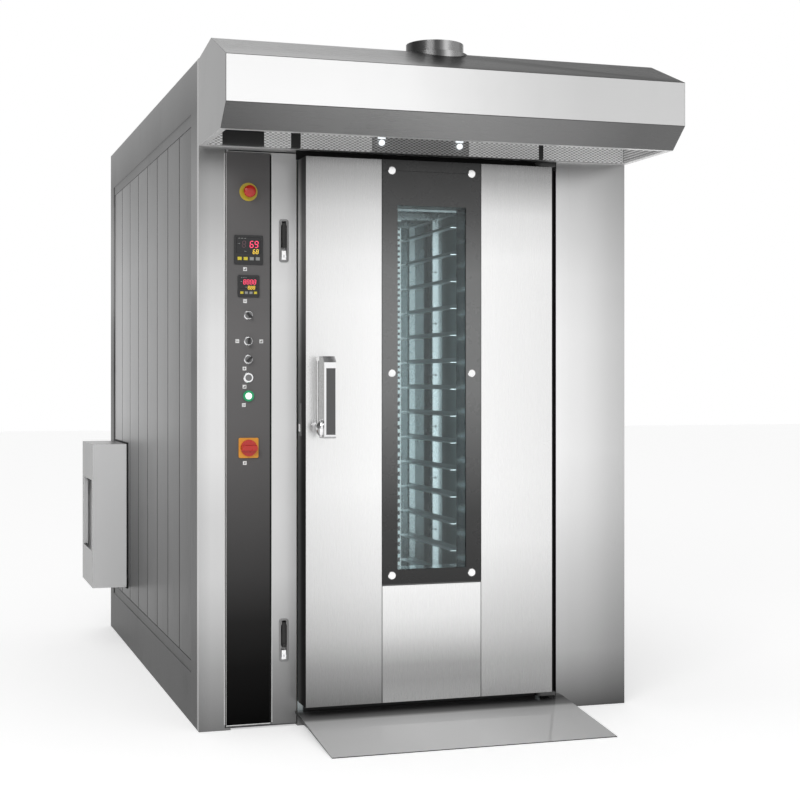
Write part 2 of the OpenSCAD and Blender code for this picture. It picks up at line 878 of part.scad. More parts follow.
module hood_collar() {
    base_z = hood_ridge_z + 3;
    color("silver")
        difference() {
            union() {
                post(0, -collar_out, base_z, base_z + collar_h, collar_r);
                post(0, -collar_out, base_z - 36, base_z, collar_r + 15);
            }
            post(0, -collar_out, base_z - 36 - past, base_z + collar_h + past, collar_r - 2);
        }
}

// ---- Control cabinet ----------------------------------------------------

pivot_r = 4;
pivot_x = control_x + 6;
pivot_d = 6;
pivot_len = 12;
foot_h = 8;
control_z = 10;
control_top = opening_h - 4;
cut_air = 1;

module control_cabinet() {
    t = 2;
    x1 = control_end;
    back = wall_t + cabinet_d;
    top = opening_h - 10;
    color("gray") {
        difference() {
            block([-inner_x, wall_t, floor_h], [x1, back, top]);
            block([-inner_x + t, wall_t - past, floor_h + t], [x1 - t, back - t, top - t]);
        }
        electrical_plate(post_x + 14, x1 - 24, back - t);
    }
}

// Mounting plate in the cabinet with three rows of switchgear
module electrical_plate(x0, x1, back) {
    z0 = 620;
    rows = 3;
    row_pitch = 330;
    units = 4;
    unit_pitch = (x1 - x0) / units;
    block([x0, back - 12, z0 - 120], [x1, back, z0 + (rows - 1) * row_pitch + 170]);
    for (i = [0:rows - 1]) {
        z = z0 + i * row_pitch;
        // rail with a row of contactors, and a cable duct over it
        block([x0, back - 20, z - 17], [x1, back - 12, z + 17]);
        for (k = [0:units - 1])
            block([x0 + k * unit_pitch + 4, back - 90, z - 45],
                [x0 + (k + 1) * unit_pitch - 4, back - 20, z + 45]);
        block([x0, back - 60, z + 80], [x1, back - 12, z + 120]);
    }
}

// Cut-outs for the instruments, through door sheet and fascia alike
module instrument_cuts() {
    d0 = -past;
    d1 = fascia_t + 2 + past;
    block([panel_cx - controller_a / 2 + 2, d0, controller_a_z - controller_a / 2 + 2],
        [panel_cx + controller_a / 2 - 2, d1, controller_a_z + controller_a / 2 - 2]);
    block([panel_cx - controller_b / 2 + 2, d0, controller_b_z - controller_b / 2 + 2],
        [panel_cx + controller_b / 2 - 2, d1, controller_b_z + controller_b / 2 - 2]);
    for (z = concat(selector_z, [ring_button_z, green_button_z, estop_z, isolator_z]))
        pin_y(panel_cx, z, d0, d1, button_hole_r);
}

button_hole_r = 12;

// Recess that a latch dish fills in the control door
module latch_cut(z, grow) {
    face_plate(strip_cx, z, latch_w - 6 + 2 * grow, latch_h - 6 + 2 * grow, -past,
        dish_d + grow, 8);
}

dish_d = 14;

module control_door() {
    t = 2;
    x0 = control_x;
    x1 = control_end;
    fascia_end = x0 + fascia_w + strip_gap;
    color("gainsboro")
        difference() {
            union() {
                // sheet behind the fascia and the stainless strip beside it
                block([x0, fascia_t, control_z], [x1, fascia_t + t, control_top]);
                block([fascia_end, 0, control_z], [x1, fascia_t, control_top]);
                // folded returns on all four sides
                for (x = [x0, x1 - t])
                    block([x, fascia_t, control_z], [x + t, control_door_t, control_top]);
                for (z = [control_z, control_top - t])
                    block([x0, fascia_t, z], [x1, control_door_t, z + t]);
                // pivot blocks and pins at both ends of the hinge side
                for (z = [control_z, control_top - 20])
                    block([x0, fascia_t, z], [x0 + 14, control_door_t, z + 20]);
                post(pivot_x, pivot_d, 1, control_z + 1, pivot_r);
                post(pivot_x, pivot_d, control_top - 1, opening_h + pivot_len, pivot_r);
                // lower and upper edge of the door in front of the pivots
                block([x0, 0, control_z], [fascia_end, fascia_t, fascia_z - 1]);
                block([x0, 0, control_top - 1], [fascia_end, fascia_t, control_top]);
            }
            instrument_cuts();
            for (z = latch_z) latch_cut(z, 0.2);
        }
}

module control_fascia() {
    color([0.06, 0.06, 0.06])
        difference() {
            block([control_x, 0, fascia_z], [control_x + fascia_w, fascia_t, control_top - 2]);
            instrument_cuts();
        }
}

lever_w = 13;
lever_pin_d = -2;
lever_pin_r = 2.5;

module latch_dish(z) {
    wall = 3;
    lever_z = z + latch_h / 2 - 14;
    difference() {
        union() {
            face_plate(strip_cx, z, latch_w, latch_h, -3, 0, 9);
            latch_body(z);
        }
        // scooped hollow in which the lever lies
        face_plate(strip_cx, z + 4, latch_w - 12, latch_h - 20, -past - 3, dish_d - wall, 6);
        pin_y(strip_cx, z - latch_h / 2 + 20, -4, dish_d + past, lock_r + 0.2);
    }
    // cross pin of the lever
    pin_x(lever_pin_d, lever_z, strip_cx - latch_w / 2 + 4, strip_cx + latch_w / 2 - 4, lever_pin_r);
    // ears that carry the cross pin
    for (side = [-1, 1])
        translate([side * (lever_w / 2 + 3), 0, 0])
            block([strip_cx - 2, lever_pin_d - 4, lever_z - 6], [strip_cx + 2, dish_d - wall,
                lever_z + 6]);
}

module latch_body(z) {
    face_plate(strip_cx, z, latch_w - 6, latch_h - 6, -0.5, dish_d, 8);
}

module latch_dishes() {
    color("dimgray") for (z = latch_z) latch_dish(z);
}

module latch_lever(z) {
    top = z + latch_h / 2 - 14;
    len = latch_h - 62;
    color("darkgray")
        difference() {
            union() {
                pin_x(lever_pin_d, top, strip_cx - lever_w / 2, strip_cx + lever_w / 2, 5.5);
                block([strip_cx - lever_w / 2, -7, top - len], [strip_cx + lever_w / 2, 1, top]);
                // finger lip at the free end
                block([strip_cx - lever_w / 2, -11, top - len], [strip_cx + lever_w / 2, -7,
                    top - len + 12]);
            }
            pin_x(lever_pin_d, top, strip_cx - lever_w, strip_cx + lever_w, lever_pin_r + play);
        }
}

module lower_latch_lever() { latch_lever(latch_z[0]); }
module upper_latch_lever() { latch_lever(latch_z[1]); }

// Panel instrument: bezel on the fascia, screen frame, keys and a body behind
module controller(z, side, body_len) {
    lip = 4;
    rim = 3;
    window = 0.56 * side;
    difference() {
        union() {
            face_plate(panel_cx, z, side, side, -lip, 0, 4);
            block([panel_cx - side / 2 + 3, -0.5, z - side / 2 + 3],
                [panel_cx + side / 2 - 3, body_len, z + side / 2 - 3]);
        }
        // sunken display window
        block([panel_cx - side / 2 + 2 * rim, -lip - past, z + side / 2 - 2 * rim - window],
            [panel_cx + side / 2 - 2 * rim, -lip + 1.5, z + side / 2 - 2 * rim]);
    }
    // row of four keys
    for (i = [0:3])
        face_plate(panel_cx + (i - 1.5) * 0.21 * side, z - 0.3 * side, 0.16 * side, 0.14 * side,
            -lip - 1, -lip + 0.2, 2);
}

module controllers() {
    color([0.12, 0.12, 0.12]) {
        controller(controller_a_z, controller_a, 78);
        controller(controller_b_z, controller_b, 70);
    }
}

bezel_r = 15;
lock_r = 8;
stem_r = 7;
ring_bezel_r = 17;
green_bezel_r = 18;
button_r = 10.5;
estop_r = 20;
estop_ring_r = 30;
nut_r = 16;
nut_d = 12;

// Operator bezel: a chamfered ring on the fascia with a barrel behind it
module bezel(z, r, hole) {
    rise = 5;
    translate([panel_cx, dep(0), z]) rotate([90, 0, 0]) rotate_extrude($fn = 64)
        polygon([[hole, -nut_d - 30], [button_hole_r - 0.2, -nut_d - 30], [button_hole_r - 0.2, 0],
            [r, 0], [r, rise - 2], [r - 2, rise], [hole, rise]]);
    // nut behind the door sheet
    difference() {
        pin_y(panel_cx, z, fascia_t + 2, fascia_t + 2 + 8, nut_r);
        pin_y(panel_cx, z, fascia_t, fascia_t + 2 + 9, button_hole_r - 0.2);
    }
}

module operator_bezels() {
    color("silver") {
        for (z = selector_z) bezel(z, bezel_r, stem_r);
        bezel(ring_button_z, ring_bezel_r, button_r + play);
        bezel(green_button_z, green_bezel_r, button_r + play);
        // key cylinders of the two latches
        for (z = latch_z)
            difference() {
                pin_y(strip_cx, z - latch_h / 2 + 20, -5, dish_d + 20, lock_r);
                block([strip_cx - 1, -6, z - latch_h / 2 + 16],
                    [strip_cx + 1, -2, z - latch_h / 2 + 24]);
            }
    }
}

module switch_plates() {
    color("gold") {
        // yellow disc behind the emergency stop, with its barrel
        difference() {
            union() {
                pin_y(panel_cx, estop_z, -3, 0, estop_ring_r);
                pin_y(panel_cx, estop_z, -10, 40, button_hole_r - 0.2);
            }
            pin_y(panel_cx, estop_z, -10 - past, 40 + past, stem_r + play);
        }
        // square plate of the main switch, with its body
        difference() {
            union() {
                face_plate(panel_cx, isolator_z, isolator_w, isolator_w, -5, 0, 5);
                pin_y(panel_cx, isolator_z, -1, 10, button_hole_r - 0.2);
                block([panel_cx - 24, 10, isolator_z - 28], [panel_cx + 24, 62, isolator_z + 28]);
            }
            pin_y(panel_cx, isolator_z, -5 - past, 40, stem_r + play);
        }
    }
}

module estop_button() {
    color("red")
        translate([panel_cx, dep(0), estop_z]) rotate([90, 0, 0]) rotate_extrude($fn = 64)
            polygon(concat([[0, -30], [stem_r, -30], [stem_r, 17], [12, 17], [estop_r - 1, 19],
                [estop_r, 22], [estop_r, 26]],
                [for (a = [0:15:90]) [(estop_r - 3) * cos(a) + 3 * cos(a), 27 + 7 * sin(a)]]));
}

// Rotary selector knob with a grip bar and a pointer notch
module selector(z, turn) {
    knob_r = 11.5;
    color([0.1, 0.1, 0.1])
        translate([panel_cx, dep(0), z]) rotate([0, turn, 0]) rotate([90, 0, 0]) {
            translate([0, 0, -25]) cylinder(h = 25 + 5.3, r = stem_r - play);
            translate([0, 0, 5.3]) cylinder(h = 4, r = knob_r);
            difference() {
                translate([0, 0, 9.3]) intersection() {
                    cylinder(h = 11, r = knob_r);
                    translate([-3.5, -knob_r, 0]) cube([7, 2 * knob_r, 11]);
                }
                translate([-0.8, 3, 18.8]) cube([1.6, knob_r, 3]);
            }
        }
}

module selector_upper() { selector(selector_z[0], -45); }
module selector_middle() { selector(selector_z[1], 0); }
module selector_lower() { selector(selector_z[2], 45); }

// Push button with a softly domed cap
module push_button(z, hue) {
    rise = 7.5;
    color(hue)
        translate([panel_cx, dep(0), z]) rotate([90, 0, 0]) rotate_extrude($fn = 64)
            polygon([[0, -24], [button_r, -24], [button_r, rise], [button_r - 1, rise + 1],
                [0.6 * button_r, rise + 1.6], [0, rise + 1.8]]);
}

module ring_button() { push_button(ring_button_z, "black"); }
module green_button() { push_button(green_button_z, "white"); }

module isolator_knob() {
    disc_r = 27;
    color("red")
        translate([panel_cx, dep(0), isolator_z]) rotate([90, 0, 0]) {
            translate([0, 0, -30]) cylinder(h = 36, r = stem_r);
            translate([0, 0, 5.3]) cylinder(h = 6, r = disc_r);
            translate([0, 0, 11.3]) intersection() {
                cylinder(h = 15, r = disc_r - 1);
                translate([-disc_r, -8, 0]) cube([2 * disc_r, 16, 15]);
            }
        }
}

// ---- Oven door ----------------------------------------------------------

door_front = -door_gap - door_t;
door_top = door_z + door_h;
border_x = door_cx - border_w / 2;
border_end = door_cx + border_w / 2;
border_t = 4;
border_h = door_top - border_z;
seam_z = door_top - seam_drop;
window_z = border_z + window_foot;
window_h = border_h - window_foot - window_head;
hinge_x = door_end - hinge_in;
hinge_d = -hinge_forward;

module window_cut(d0, d1, lap) {
    block([door_cx - window_w / 2 - lap, d0, window_z - lap],
        [door_cx + window_w / 2 + lap, d1, window_z + window_h + lap]);
}

module door_shell() {
    skin = door_front + face_t;
    color("silver")
        difference() {
            block([door_x, skin, door_z], [door_end, -door_gap, door_top]);
            // front rebate for the glass border, then the window itself
            block([border_x, skin - past, border_z], [border_end, door_front + border_t,
                door_top + past]);
            window_cut(skin - past, -door_gap + past, 0);
            window_cut(skin - past, door_front + border_t + pane_t, pane_lap);
            window_cut(-door_gap - pane_t, -door_gap + past, pane_lap);
            // bores for the hinge pins, from below and from above
            post(hinge_x, hinge_d, door_z - past, door_z + hinge_pin_l + 2,
                hinge_pin_r + hinge_play);
            post(hinge_x, hinge_d, door_top - hinge_pin_l - 2, door_top + past,
                hinge_pin_r + hinge_play);
        }
}

module door_face_panels() {
    j = face_joint;
    lower_top = border_z - 4;
    color("gainsboro") {
        block([door_x, door_front, door_z], [border_x - j, door_front + face_t, door_top]);
        block([border_end + j, door_front, door_z], [door_end, door_front + face_t, door_top]);
        block([border_x, door_front, door_z], [border_end, door_front + face_t, lower_top]);
    }
}

module window_border() {
    color([0.05, 0.05, 0.05])
        difference() {
            block([border_x, door_front, border_z],
                [border_end, door_front + border_t, border_z + border_h]);
            window_cut(door_front - past, door_front + border_t + past, 0);
            // seam between the glass and its head piece
            block([border_x - past, door_front - past, seam_z - 0.8],
                [border_end + past, door_front + 1, seam_z + 0.8]);
        }
}

module window_panes() {
    lap = pane_lap - 1;
    color([0.7, 0.85, 0.85, 0.4]) {
        window_cut(door_front + border_t, door_front + border_t + pane_t, lap);
        window_cut(-door_gap - pane_t, -door_gap, lap);
    }
}

module door_gasket() {
    e = gasket_edge;
    x0 = tunnel_x - e - gasket_w;
    x1 = tunnel_end + e + gasket_w;
    color("black")
        difference() {
            // ring on the door's back, its lower bar hanging down to the sill
            block([x0, -door_gap, floor_h + gasket_air], [x1, -gasket_air, tunnel_h + e + gasket_w]);
            block([tunnel_x - e, -door_gap - past, door_z + gasket_w],
                [tunnel_end + e, past, tunnel_h + e]);
        }
}

handle_x0 = door_x + handle_x;
handle_front = door_front - handle_out;
handle_axis_x = handle_x0 + handle_barrel_r;
handle_axis_d = door_front - handle_barrel_r - 7;
handle_top = handle_z + handle_h;
lug_h = 14;
cap_z = [border_z + 29.5, (border_z + seam_z) / 2 + 14.5, seam_z + 0.5];

module door_hardware() {
    cap_h = 4;
    base_t = 5;
    color("gainsboro") {
        // cover caps of the glass fixings
        for (x = [-1, 1]) for (z = cap_z)
            translate([door_cx + x * cap_spacing / 2, dep(door_front), z]) rotate([90, 0, 0])
                rotate_extrude($fn = 48)
                    polygon([[0, 0], [cap_dia / 2, 0], [cap_dia / 2, cap_h - 2],
                        [cap_dia / 2 - 2, cap_h], [0, cap_h + 0.6]]);
        // base plate of the handle, with the lugs and pin of its pivot
        face_plate(handle_x0 + handle_w / 2, handle_z + handle_h / 2, handle_w, handle_h,
            door_front - base_t, door_front, 6);
        for (z = [handle_z, handle_top - lug_h]) {
            block([handle_x0, handle_axis_d, z],
                [handle_x0 + 2 * handle_barrel_r, door_front - base_t + past, z + lug_h]);
            post(handle_axis_x, handle_axis_d, z, z + lug_h, handle_barrel_r);
        }
        post(handle_axis_x, handle_axis_d, handle_z, handle_top, handle_pin_r);
    }
}

module door_handle() {
    slope_z = 20;
    slope_d = 28;
    bar_back = handle_front + handle_bar_t;
    barrel_air = 2;
    clear_d = handle_axis_d - handle_barrel_r - barrel_air;
    lobe_r = 19;
    lock_z = handle_z + 32;
    color("silver")
        difference() {
            union() {
                // bar with its sloped top, drawn as a side profile [depth, z]
                translate([handle_x0, dep(0), 0]) rotate([90, 0, 90])
                    linear_extrude(height = handle_w)
                        polygon([[handle_front, handle_z + 6], [handle_front + 6, handle_z],
                            [bar_back, handle_z], [bar_back, handle_top],
                            [handle_front + slope_d - 8, handle_top],
                            [handle_front, handle_top - slope_z]]);
                // flank from the bar to the barrel
                block([handle_x0, bar_back - past, handle_z],
                    [handle_x0 + handle_flank, clear_d, handle_top]);
                block([handle_x0, clear_d - past, handle_z + lug_h + air],
                    [handle_x0 + handle_flank, handle_axis_d, handle_top - lug_h - air]);
                post(handle_axis_x, handle_axis_d, handle_z + lug_h + air,
                    handle_top - lug_h - air, handle_barrel_r);
                // bulge of the lock at the flank's lower end
                translate([handle_x0 + 2, dep(handle_front + 36), lock_z]) {
                    scale([1, 1, 1.5]) sphere(r = lobe_r);
                    rotate([0, -90, 0]) cylinder(h = lobe_r + 1, r = 7);
                }
            }
            post(handle_axis_x, handle_axis_d, handle_z, handle_top, handle_pin_r + play);
            inset_space(0.2);
        }
}

// Shallow pocket in the bar's face for the dark inset
module inset_space(grow) {
    inset_w = 0.75 * handle_w;
    inset_h = 0.807 * handle_h;
    z = handle_z + 12;
    x = handle_x0 + handle_w - inset_w - 3;
    block([x - grow, handle_front - 0.5 - (grow > 0 ? past : 0), z - grow],
        [x + inset_w + grow, handle_front + 5, z + inset_h + grow]);
}

module handle_inset() {
    color([0.3, 0.3, 0.3]) inset_space(0);
}

module door_hinge_brackets() {
    color("silver")
        for (top = [0, 1]) {
            arm_end = door_end + 24;
            z = top == 1 ? door_top + hinge_air : door_z - hinge_air - hinge_t;
            pin_z = top == 1 ? door_top - hinge_pin_l : z;
            // round eye under or over the door, and the arm to the jamb
            post(hinge_x, hinge_d, z, z + hinge_t, hinge_eye_r);
            block([hinge_x, hinge_d - hinge_eye_r, z],
                [arm_end, hinge_d + hinge_eye_r, z + hinge_t]);
            block([door_end + 6, hinge_d - hinge_eye_r, z], [arm_end, jamb_recess, z + hinge_t]);
            post(hinge_x, hinge_d, pin_z, pin_z + hinge_pin_l + hinge_air + hinge_t, hinge_pin_r);
        }
}

module loading_ramp() {
    x0 = control_end - 5;
    x1 = jamb_end + ramp_lap;
    ribs = 5;
    rib_t = 6;
    // side profile of the bent sheet, [depth, z]
    color("silver") {
        translate([x0, dep(0), 0]) rotate([90, 0, 90]) linear_extrude(height = x1 - x0)
            polygon([[-ramp_l, 0], [0, floor_h - ramp_t - ramp_edge], [0, floor_h],
                [-30, floor_h], [-ramp_l, ramp_edge]]);
        for (i = [0:ribs - 1])
            translate([x0 + 30 + i * (x1 - x0 - 60 - rib_t) / (ribs - 1), dep(0), 0])
                rotate([90, 0, 90]) linear_extrude(height = rib_t)
                    polygon([[-ramp_l + 60, 0], [-1, 0], [-1, floor_h - ramp_t - ramp_edge - 1],
                        [-ramp_l, 0]]);
    }
}

// ---- Turntable, trolley and drive --------------------------------------

spindle_r = 24;
hub_pin_r = 20;
table_z = floor_h + 2;
table_top = table_z + table_t;
wheel_r = wheel_dia / 2;
axle_z = table_top + air + wheel_r;
plate_z = axle_z + wheel_r + 6;
base_z = plate_z + 5;
castor_x = rack_w / 2 - 45;
castor_y = rack_d / 2 - 45;
gear_z = body_h + gearbox_h + 14;
yoke_z = rack_h + 34;
gear_distance = gear_module * (gear_teeth + pinion_teeth) / 2;

// Place on the chamber's centre line
module at_centre() {
    translate([0, dep(chamber_d), 0]) children();
}

module rack_bearings() {
    color("dimgray") at_centre() {
        // spindle that carries the turntable
        translate([0, 0, 0]) cylinder(h = floor_h, r = spindle_r - play);
        translate([0, 0, floor_h]) cylinder(h = 2 - 0.2, r = 60);
        translate([0, 0, floor_h]) cylinder(h = 30, r = hub_pin_r);
        // flanged bearing of the drive shaft on the roof
        difference() {
            union() {
                translate([-60, -60, body_h]) cube([120, 120, 12]);
                translate([0, 0, body_h + 12]) cylinder(h = 20, r = 42);
            }
            translate([0, 0, body_h - past]) cylinder(h = 40, r = shaft_r);
        }
    }
}

module turntable() {
    guide_w = 6;
    guide_h = 14;
    // clear zone round the swivelling castors
    swivel_zone = castor_trail + wheel_r + 16;
    color("lightgray") at_centre()
        difference() {
            union() {
                translate([0, 0, table_z]) cylinder(h = table_t, r = table_r);
                translate([0, 0, table_top]) cylinder(h = 16, r = 44);
                // guides that the trolley's castors run between
                for (side = [-1, 1]) for (edge = [-1, 1])
                    translate([side * castor_x + edge * (wheel_w / 2 + 12) - guide_w / 2,
                            -castor_y + swivel_zone, table_top])
                        cube([guide_w, 2 * castor_y - swivel_zone - 60, guide_h]);
                // stop bar behind the trolley's rear castors
                translate([-castor_x - 20, castor_y + wheel_r + 4, table_top])
                    cube([2 * castor_x + 40, guide_w, guide_h + 16]);
            }
            translate([0, 0, table_z - past]) cylinder(h = 40, r = hub_pin_r + play);
        }
}

module drive_yoke() {
    bar_l = 400;
    bar_w = 40;
    bar_h = 24;
    prong = 14;
    slot = rack_tube + 2 * air;
    color("silver") at_centre() {
        translate([0, 0, yoke_z]) cylinder(h = gear_z + gear_face + 6 - yoke_z, r = shaft_r - play);
        translate([0, 0, yoke_z]) cylinder(h = 50, r = shaft_r + 12);
        translate([-bar_l / 2, -bar_w / 2, yoke_z]) cube([bar_l, bar_w, bar_h]);
        // two forks that straddle the trolley's cross tube
        for (side = [-1, 1]) for (leg = [-1, 1])
            translate([side * (bar_l / 2 - 20) - 15, leg * (slot / 2 + prong / 2) - prong / 2,
                    rack_h - rack_tube])
                cube([30, prong, yoke_z - rack_h + rack_tube]);
    }
}

// Outline of a spur gear: involute flanks between round root and tip
function involute(base, t) =
    [base * (cos(t) + t * PI / 180 * sin(t)), base * (sin(t) - t * PI / 180 * cos(t))];
function turned(p, a) = [p[0] * cos(a) - p[1] * sin(a), p[0] * sin(a) + p[1] * cos(a)];
function flank_angle(base, r) = sqrt(pow(r / base, 2) - 1) * 180 / PI;

module gear_outline(teeth, backlash) {
    pitch_r = gear_module * teeth / 2;
    base = pitch_r * cos(20);
    tip = pitch_r + gear_module;
    root = pitch_r - 1.25 * gear_module;
    steps = 4;
    t_pitch = flank_angle(base, pitch_r);
    p = involute(base, t_pitch);
    half = 90 / teeth - backlash / pitch_r * 90 / PI;
    // turn that puts the flank's pitch point half a tooth from the middle
    shift = -atan2(p[1], p[0]) - half;
    t_low = root > base ? flank_angle(base, root) : 0;
    t_tip = flank_angle(base, tip);
    right = [for (i = [0:steps]) turned(involute(base, t_low + (t_tip - t_low) * i / steps), shift)];
    foot = [[(root - 1) * cos(shift), (root - 1) * sin(shift)]];
    left = [for (i = [len(right) - 1:-1:0]) [right[i][0], -right[i][1]]];
    foot_end = [[foot[0][0], -foot[0][1]]];
    union() {
        circle(r = root);
        for (k = [0:teeth - 1]) rotate(k * 360 / teeth)
            polygon(concat(foot, right, left, foot_end));
    }
}

module drive_gear() {
    hub_r = shaft_r + 16;
    holes = 6;
    rim = 14;
    web_r = gear_module * gear_teeth / 2 - 1.25 * gear_module - rim;
    hole_r = (web_r - hub_r) / 2 - 4;
    color("dimgray") at_centre()
        difference() {
            translate([0, 0, gear_z]) linear_extrude(height = gear_face)
                gear_outline(gear_teeth, 0.4);
            translate([0, 0, gear_z - past])
                cylinder(h = gear_face + 2 * past, r = shaft_r);
            // lightening holes in the web
            for (i = [0:holes - 1]) rotate([0, 0, i * 360 / holes])
                translate([(web_r + hub_r) / 2, 0, gear_z - past])
                    cylinder(h = gear_face + 2 * past, r = hole_r);
        }
}

module drive_pinion() {
    color("gray") at_centre() translate([gear_distance, 0, 0]) {
        translate([0, 0, gear_z]) rotate([0, 0, 180 / pinion_teeth + 180])
            linear_extrude(height = gear_face) gear_outline(pinion_teeth, 0.4);
        translate([0, 0, body_h + gearbox_h - 30])
            cylinder(h = gear_z + gear_face + 4 - (body_h + gearbox_h - 30), r = 14);
    }
}

module gearmotor() {
    box_w = 130;
    motor_l = 210;
    cowl = 46;
    motor_z = body_h + gearbox_h / 2 + 16;
    color("steelblue") at_centre() translate([gear_distance, 0, 0]) {
        difference() {
            union() {
                // worm gearbox on its foot plate
                translate([-box_w / 2 - 15, -box_w / 2, body_h]) cube([box_w + 30, box_w, 10]);
                translate([-box_w / 2, -box_w / 2 + 10, body_h + 10])
                    cube([box_w, box_w - 20, gearbox_h - 10]);
                translate([0, 0, body_h + gearbox_h - past]) cylinder(h = 5 + past, r = 34);
                // motor with its cowl, lying along X
                translate([box_w / 2 - past, 0, motor_z]) rotate([0, 90, 0])
                    cylinder(h = motor_l + past, r = drive_motor_r - 6);
                translate([box_w / 2 + motor_l - cowl, 0, motor_z]) rotate([0, 90, 0])
                    cylinder(h = cowl + 10, r = drive_motor_r);
                translate([box_w / 2 - past, 0, motor_z]) rotate([0, 90, 0])
                    cylinder(h = 12 + past, r = drive_motor_r);
            }
            translate([0, 0, body_h + gearbox_h - 30 - air])
                cylinder(h = 60, r = 14 + play);
        }
    }
}

module rack_frame() {
    t = rack_tube;
    w = rack_w;
    d = rack_d;
    color("gainsboro") at_centre() {
        for (sx = [-1, 1]) for (sy = [-1, 1])
            translate([sx * (w / 2 - t / 2) - t / 2, sy * (d / 2 - t / 2) - t / 2, base_z])
                cube([t, t, rack_h - base_z]);
        for (z = [base_z, rack_h - t]) {
            for (sx = [-1, 1])
                translate([sx * (w / 2 - t / 2) - t / 2, -d / 2 + t, z]) cube([t, d - 2 * t, t]);
            for (sy = [-1, 1])
                translate([-w / 2 + t, sy * (d / 2 - t / 2) - t / 2, z]) cube([w - 2 * t, t, t]);
        }
        // cross tubes: the upper one hangs in the drive yoke
        for (z = [base_z, rack_h - t])
            translate([-w / 2 + t, -t / 2, z]) cube([w - 2 * t, t, t]);
        // middle upright of each side
        for (sx = [-1, 1])
            translate([sx * (w / 2 - t / 2) - t / 2, -t / 2, base_z + t])
                cube([t, t, rack_h - base_z - 2 * t]);
        // castor plates, and the fixed forks of the rear pair
        for (sx = [-1, 1]) for (sy = [-1, 1])
            translate([sx * castor_x - 35, sy * castor_y - 35, plate_z]) cube([70, 70, 5]);
        for (sx = [-1, 1]) translate([sx * castor_x, castor_y, 0]) fixed_fork();
    }
}

fork_t = 4;
fork_gap = wheel_w / 2 + 2;

// Two fork plates with the axle between them, wheel axis along X
module fork_legs(top) {
    for (side = [-1, 1])
        difference() {
            union() {
                translate([side * (fork_gap + fork_t / 2) - fork_t / 2, -22, axle_z])
                    cube([fork_t, 44, top - axle_z]);
                translate([side * (fork_gap + fork_t / 2) - fork_t / 2, 0, axle_z])
                    rotate([0, 90, 0]) cylinder(h = fork_t, r = 22);
            }
        }
    translate([-fork_gap - fork_t - 3, 0, axle_z]) rotate([0, 90, 0])
        cylinder(h = 2 * (fork_gap + fork_t + 3), r = axle_r);
}

module fixed_fork() {
    fork_legs(plate_z);
}

// Swivel fork: kingpin on the plate's axis, wheel trailing behind
module swivel_fork(side) {
    crown_z = axle_z + wheel_r + 2;
    color("silver") at_centre() translate([side * castor_x, -castor_y, 0]) {
        translate([0, castor_trail, 0]) fork_legs(crown_z);
        difference() {
            translate([-fork_gap - fork_t, -22, crown_z - past])
                cube([2 * (fork_gap + fork_t), castor_trail + 44, 3 + past - 0.2]);
            translate([0, castor_trail, axle_z]) rotate([0, 90, 0])
                cylinder(h = 60, r = wheel_r + 1, center = true);
        }
        translate([0, 0, crown_z]) cylinder(h = plate_z - crown_z - air, r = 20);
    }
}

module castor_fork_left() { swivel_fork(-1); }
module castor_fork_right() { swivel_fork(1); }

// Castor wheel with a crowned tread and recessed sides
module wheel() {
    half = wheel_w / 2;
    hub = 16;
    rotate([0, 90, 0]) rotate_extrude($fn = 72)
        polygon([[axle_r + play, -half], [hub, -half], [hub + 3, -half + 5],
            [wheel_r - 12, -half + 5], [wheel_r - 9, -half + 1], [wheel_r - 3, -half + 1],
            [wheel_r, -half + 5], [wheel_r, half - 5], [wheel_r - 3, half - 1],
            [wheel_r - 9, half - 1], [wheel_r - 12, half - 5], [hub + 3, half - 5],
            [hub, half], [axle_r + play, half]]);
}

// Wheel at its place: side -1 or 1, and distance behind the table's centre
module castor_wheel(side, y) {
    color([0.15, 0.15, 0.15]) at_centre() translate([side * castor_x, y, axle_z]) wheel();
}

module front_wheel_left() { castor_wheel(-1, -castor_y + castor_trail); }
module front_wheel_right() { castor_wheel(1, -castor_y + castor_trail); }
module rear_wheel_left() { castor_wheel(-1, castor_y); }
module rear_wheel_right() { castor_wheel(1, castor_y); }

// Tray runners: an angle with its shelf inwards on both sides of each level
module rack_runners() {
    inner = rack_w / 2 - rack_tube;
    l = rack_d - 6;
    tip = 8;
    color("gainsboro") at_centre()
        for (side = [0, 1]) mirror([side, 0, 0])
            for (i = [0:levels - 1])
                translate([inner, -l / 2, level_z + i * level_pitch]) {
                    translate([-runner_w, 0, 0]) cube([runner_w, l, runner_t]);
                    translate([-runner_t, 0, 0]) cube([runner_t, l, runner_h]);
                    // upturned stop at the rear end
                    translate([-runner_w, l - runner_t, 0]) cube([runner_w, runner_t, tip]);
                }
}

base_frame();
casing_frame();
wall_planks();
roof_panel();
front_frame();
hinge_jamb();
chamber_liner();
air_duct_wall();
insulation_slabs();
heat_exchanger();
gas_burner();
burner_cover();
flue_collar();
steam_cascade();
hood_shell();
hood_soffit();
hood_collar();
fan_motor();
gearmotor();
rack_bearings();
control_cabinet();
door_hinge_brackets();
loading_ramp();
chamber_lamp();
door_shell();
door_face_panels();
window_border();
window_panes();
door_gasket();
door_hardware();
door_handle();
handle_inset();
control_door();
control_fascia();
latch_dishes();
controllers();
operator_bezels();
switch_plates();
lower_latch_lever();
upper_latch_lever();
estop_button();
selector_upper();
selector_middle();
selector_lower();
ring_button();
green_button();
isolator_knob();
turntable();
drive_yoke();
drive_gear();
rack_frame();
rack_runners();
castor_fork_left();
castor_fork_right();
front_wheel_left();
front_wheel_right();
rear_wheel_left();
rear_wheel_right();
drive_pinion();
fan_impeller();
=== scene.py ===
import json
import math

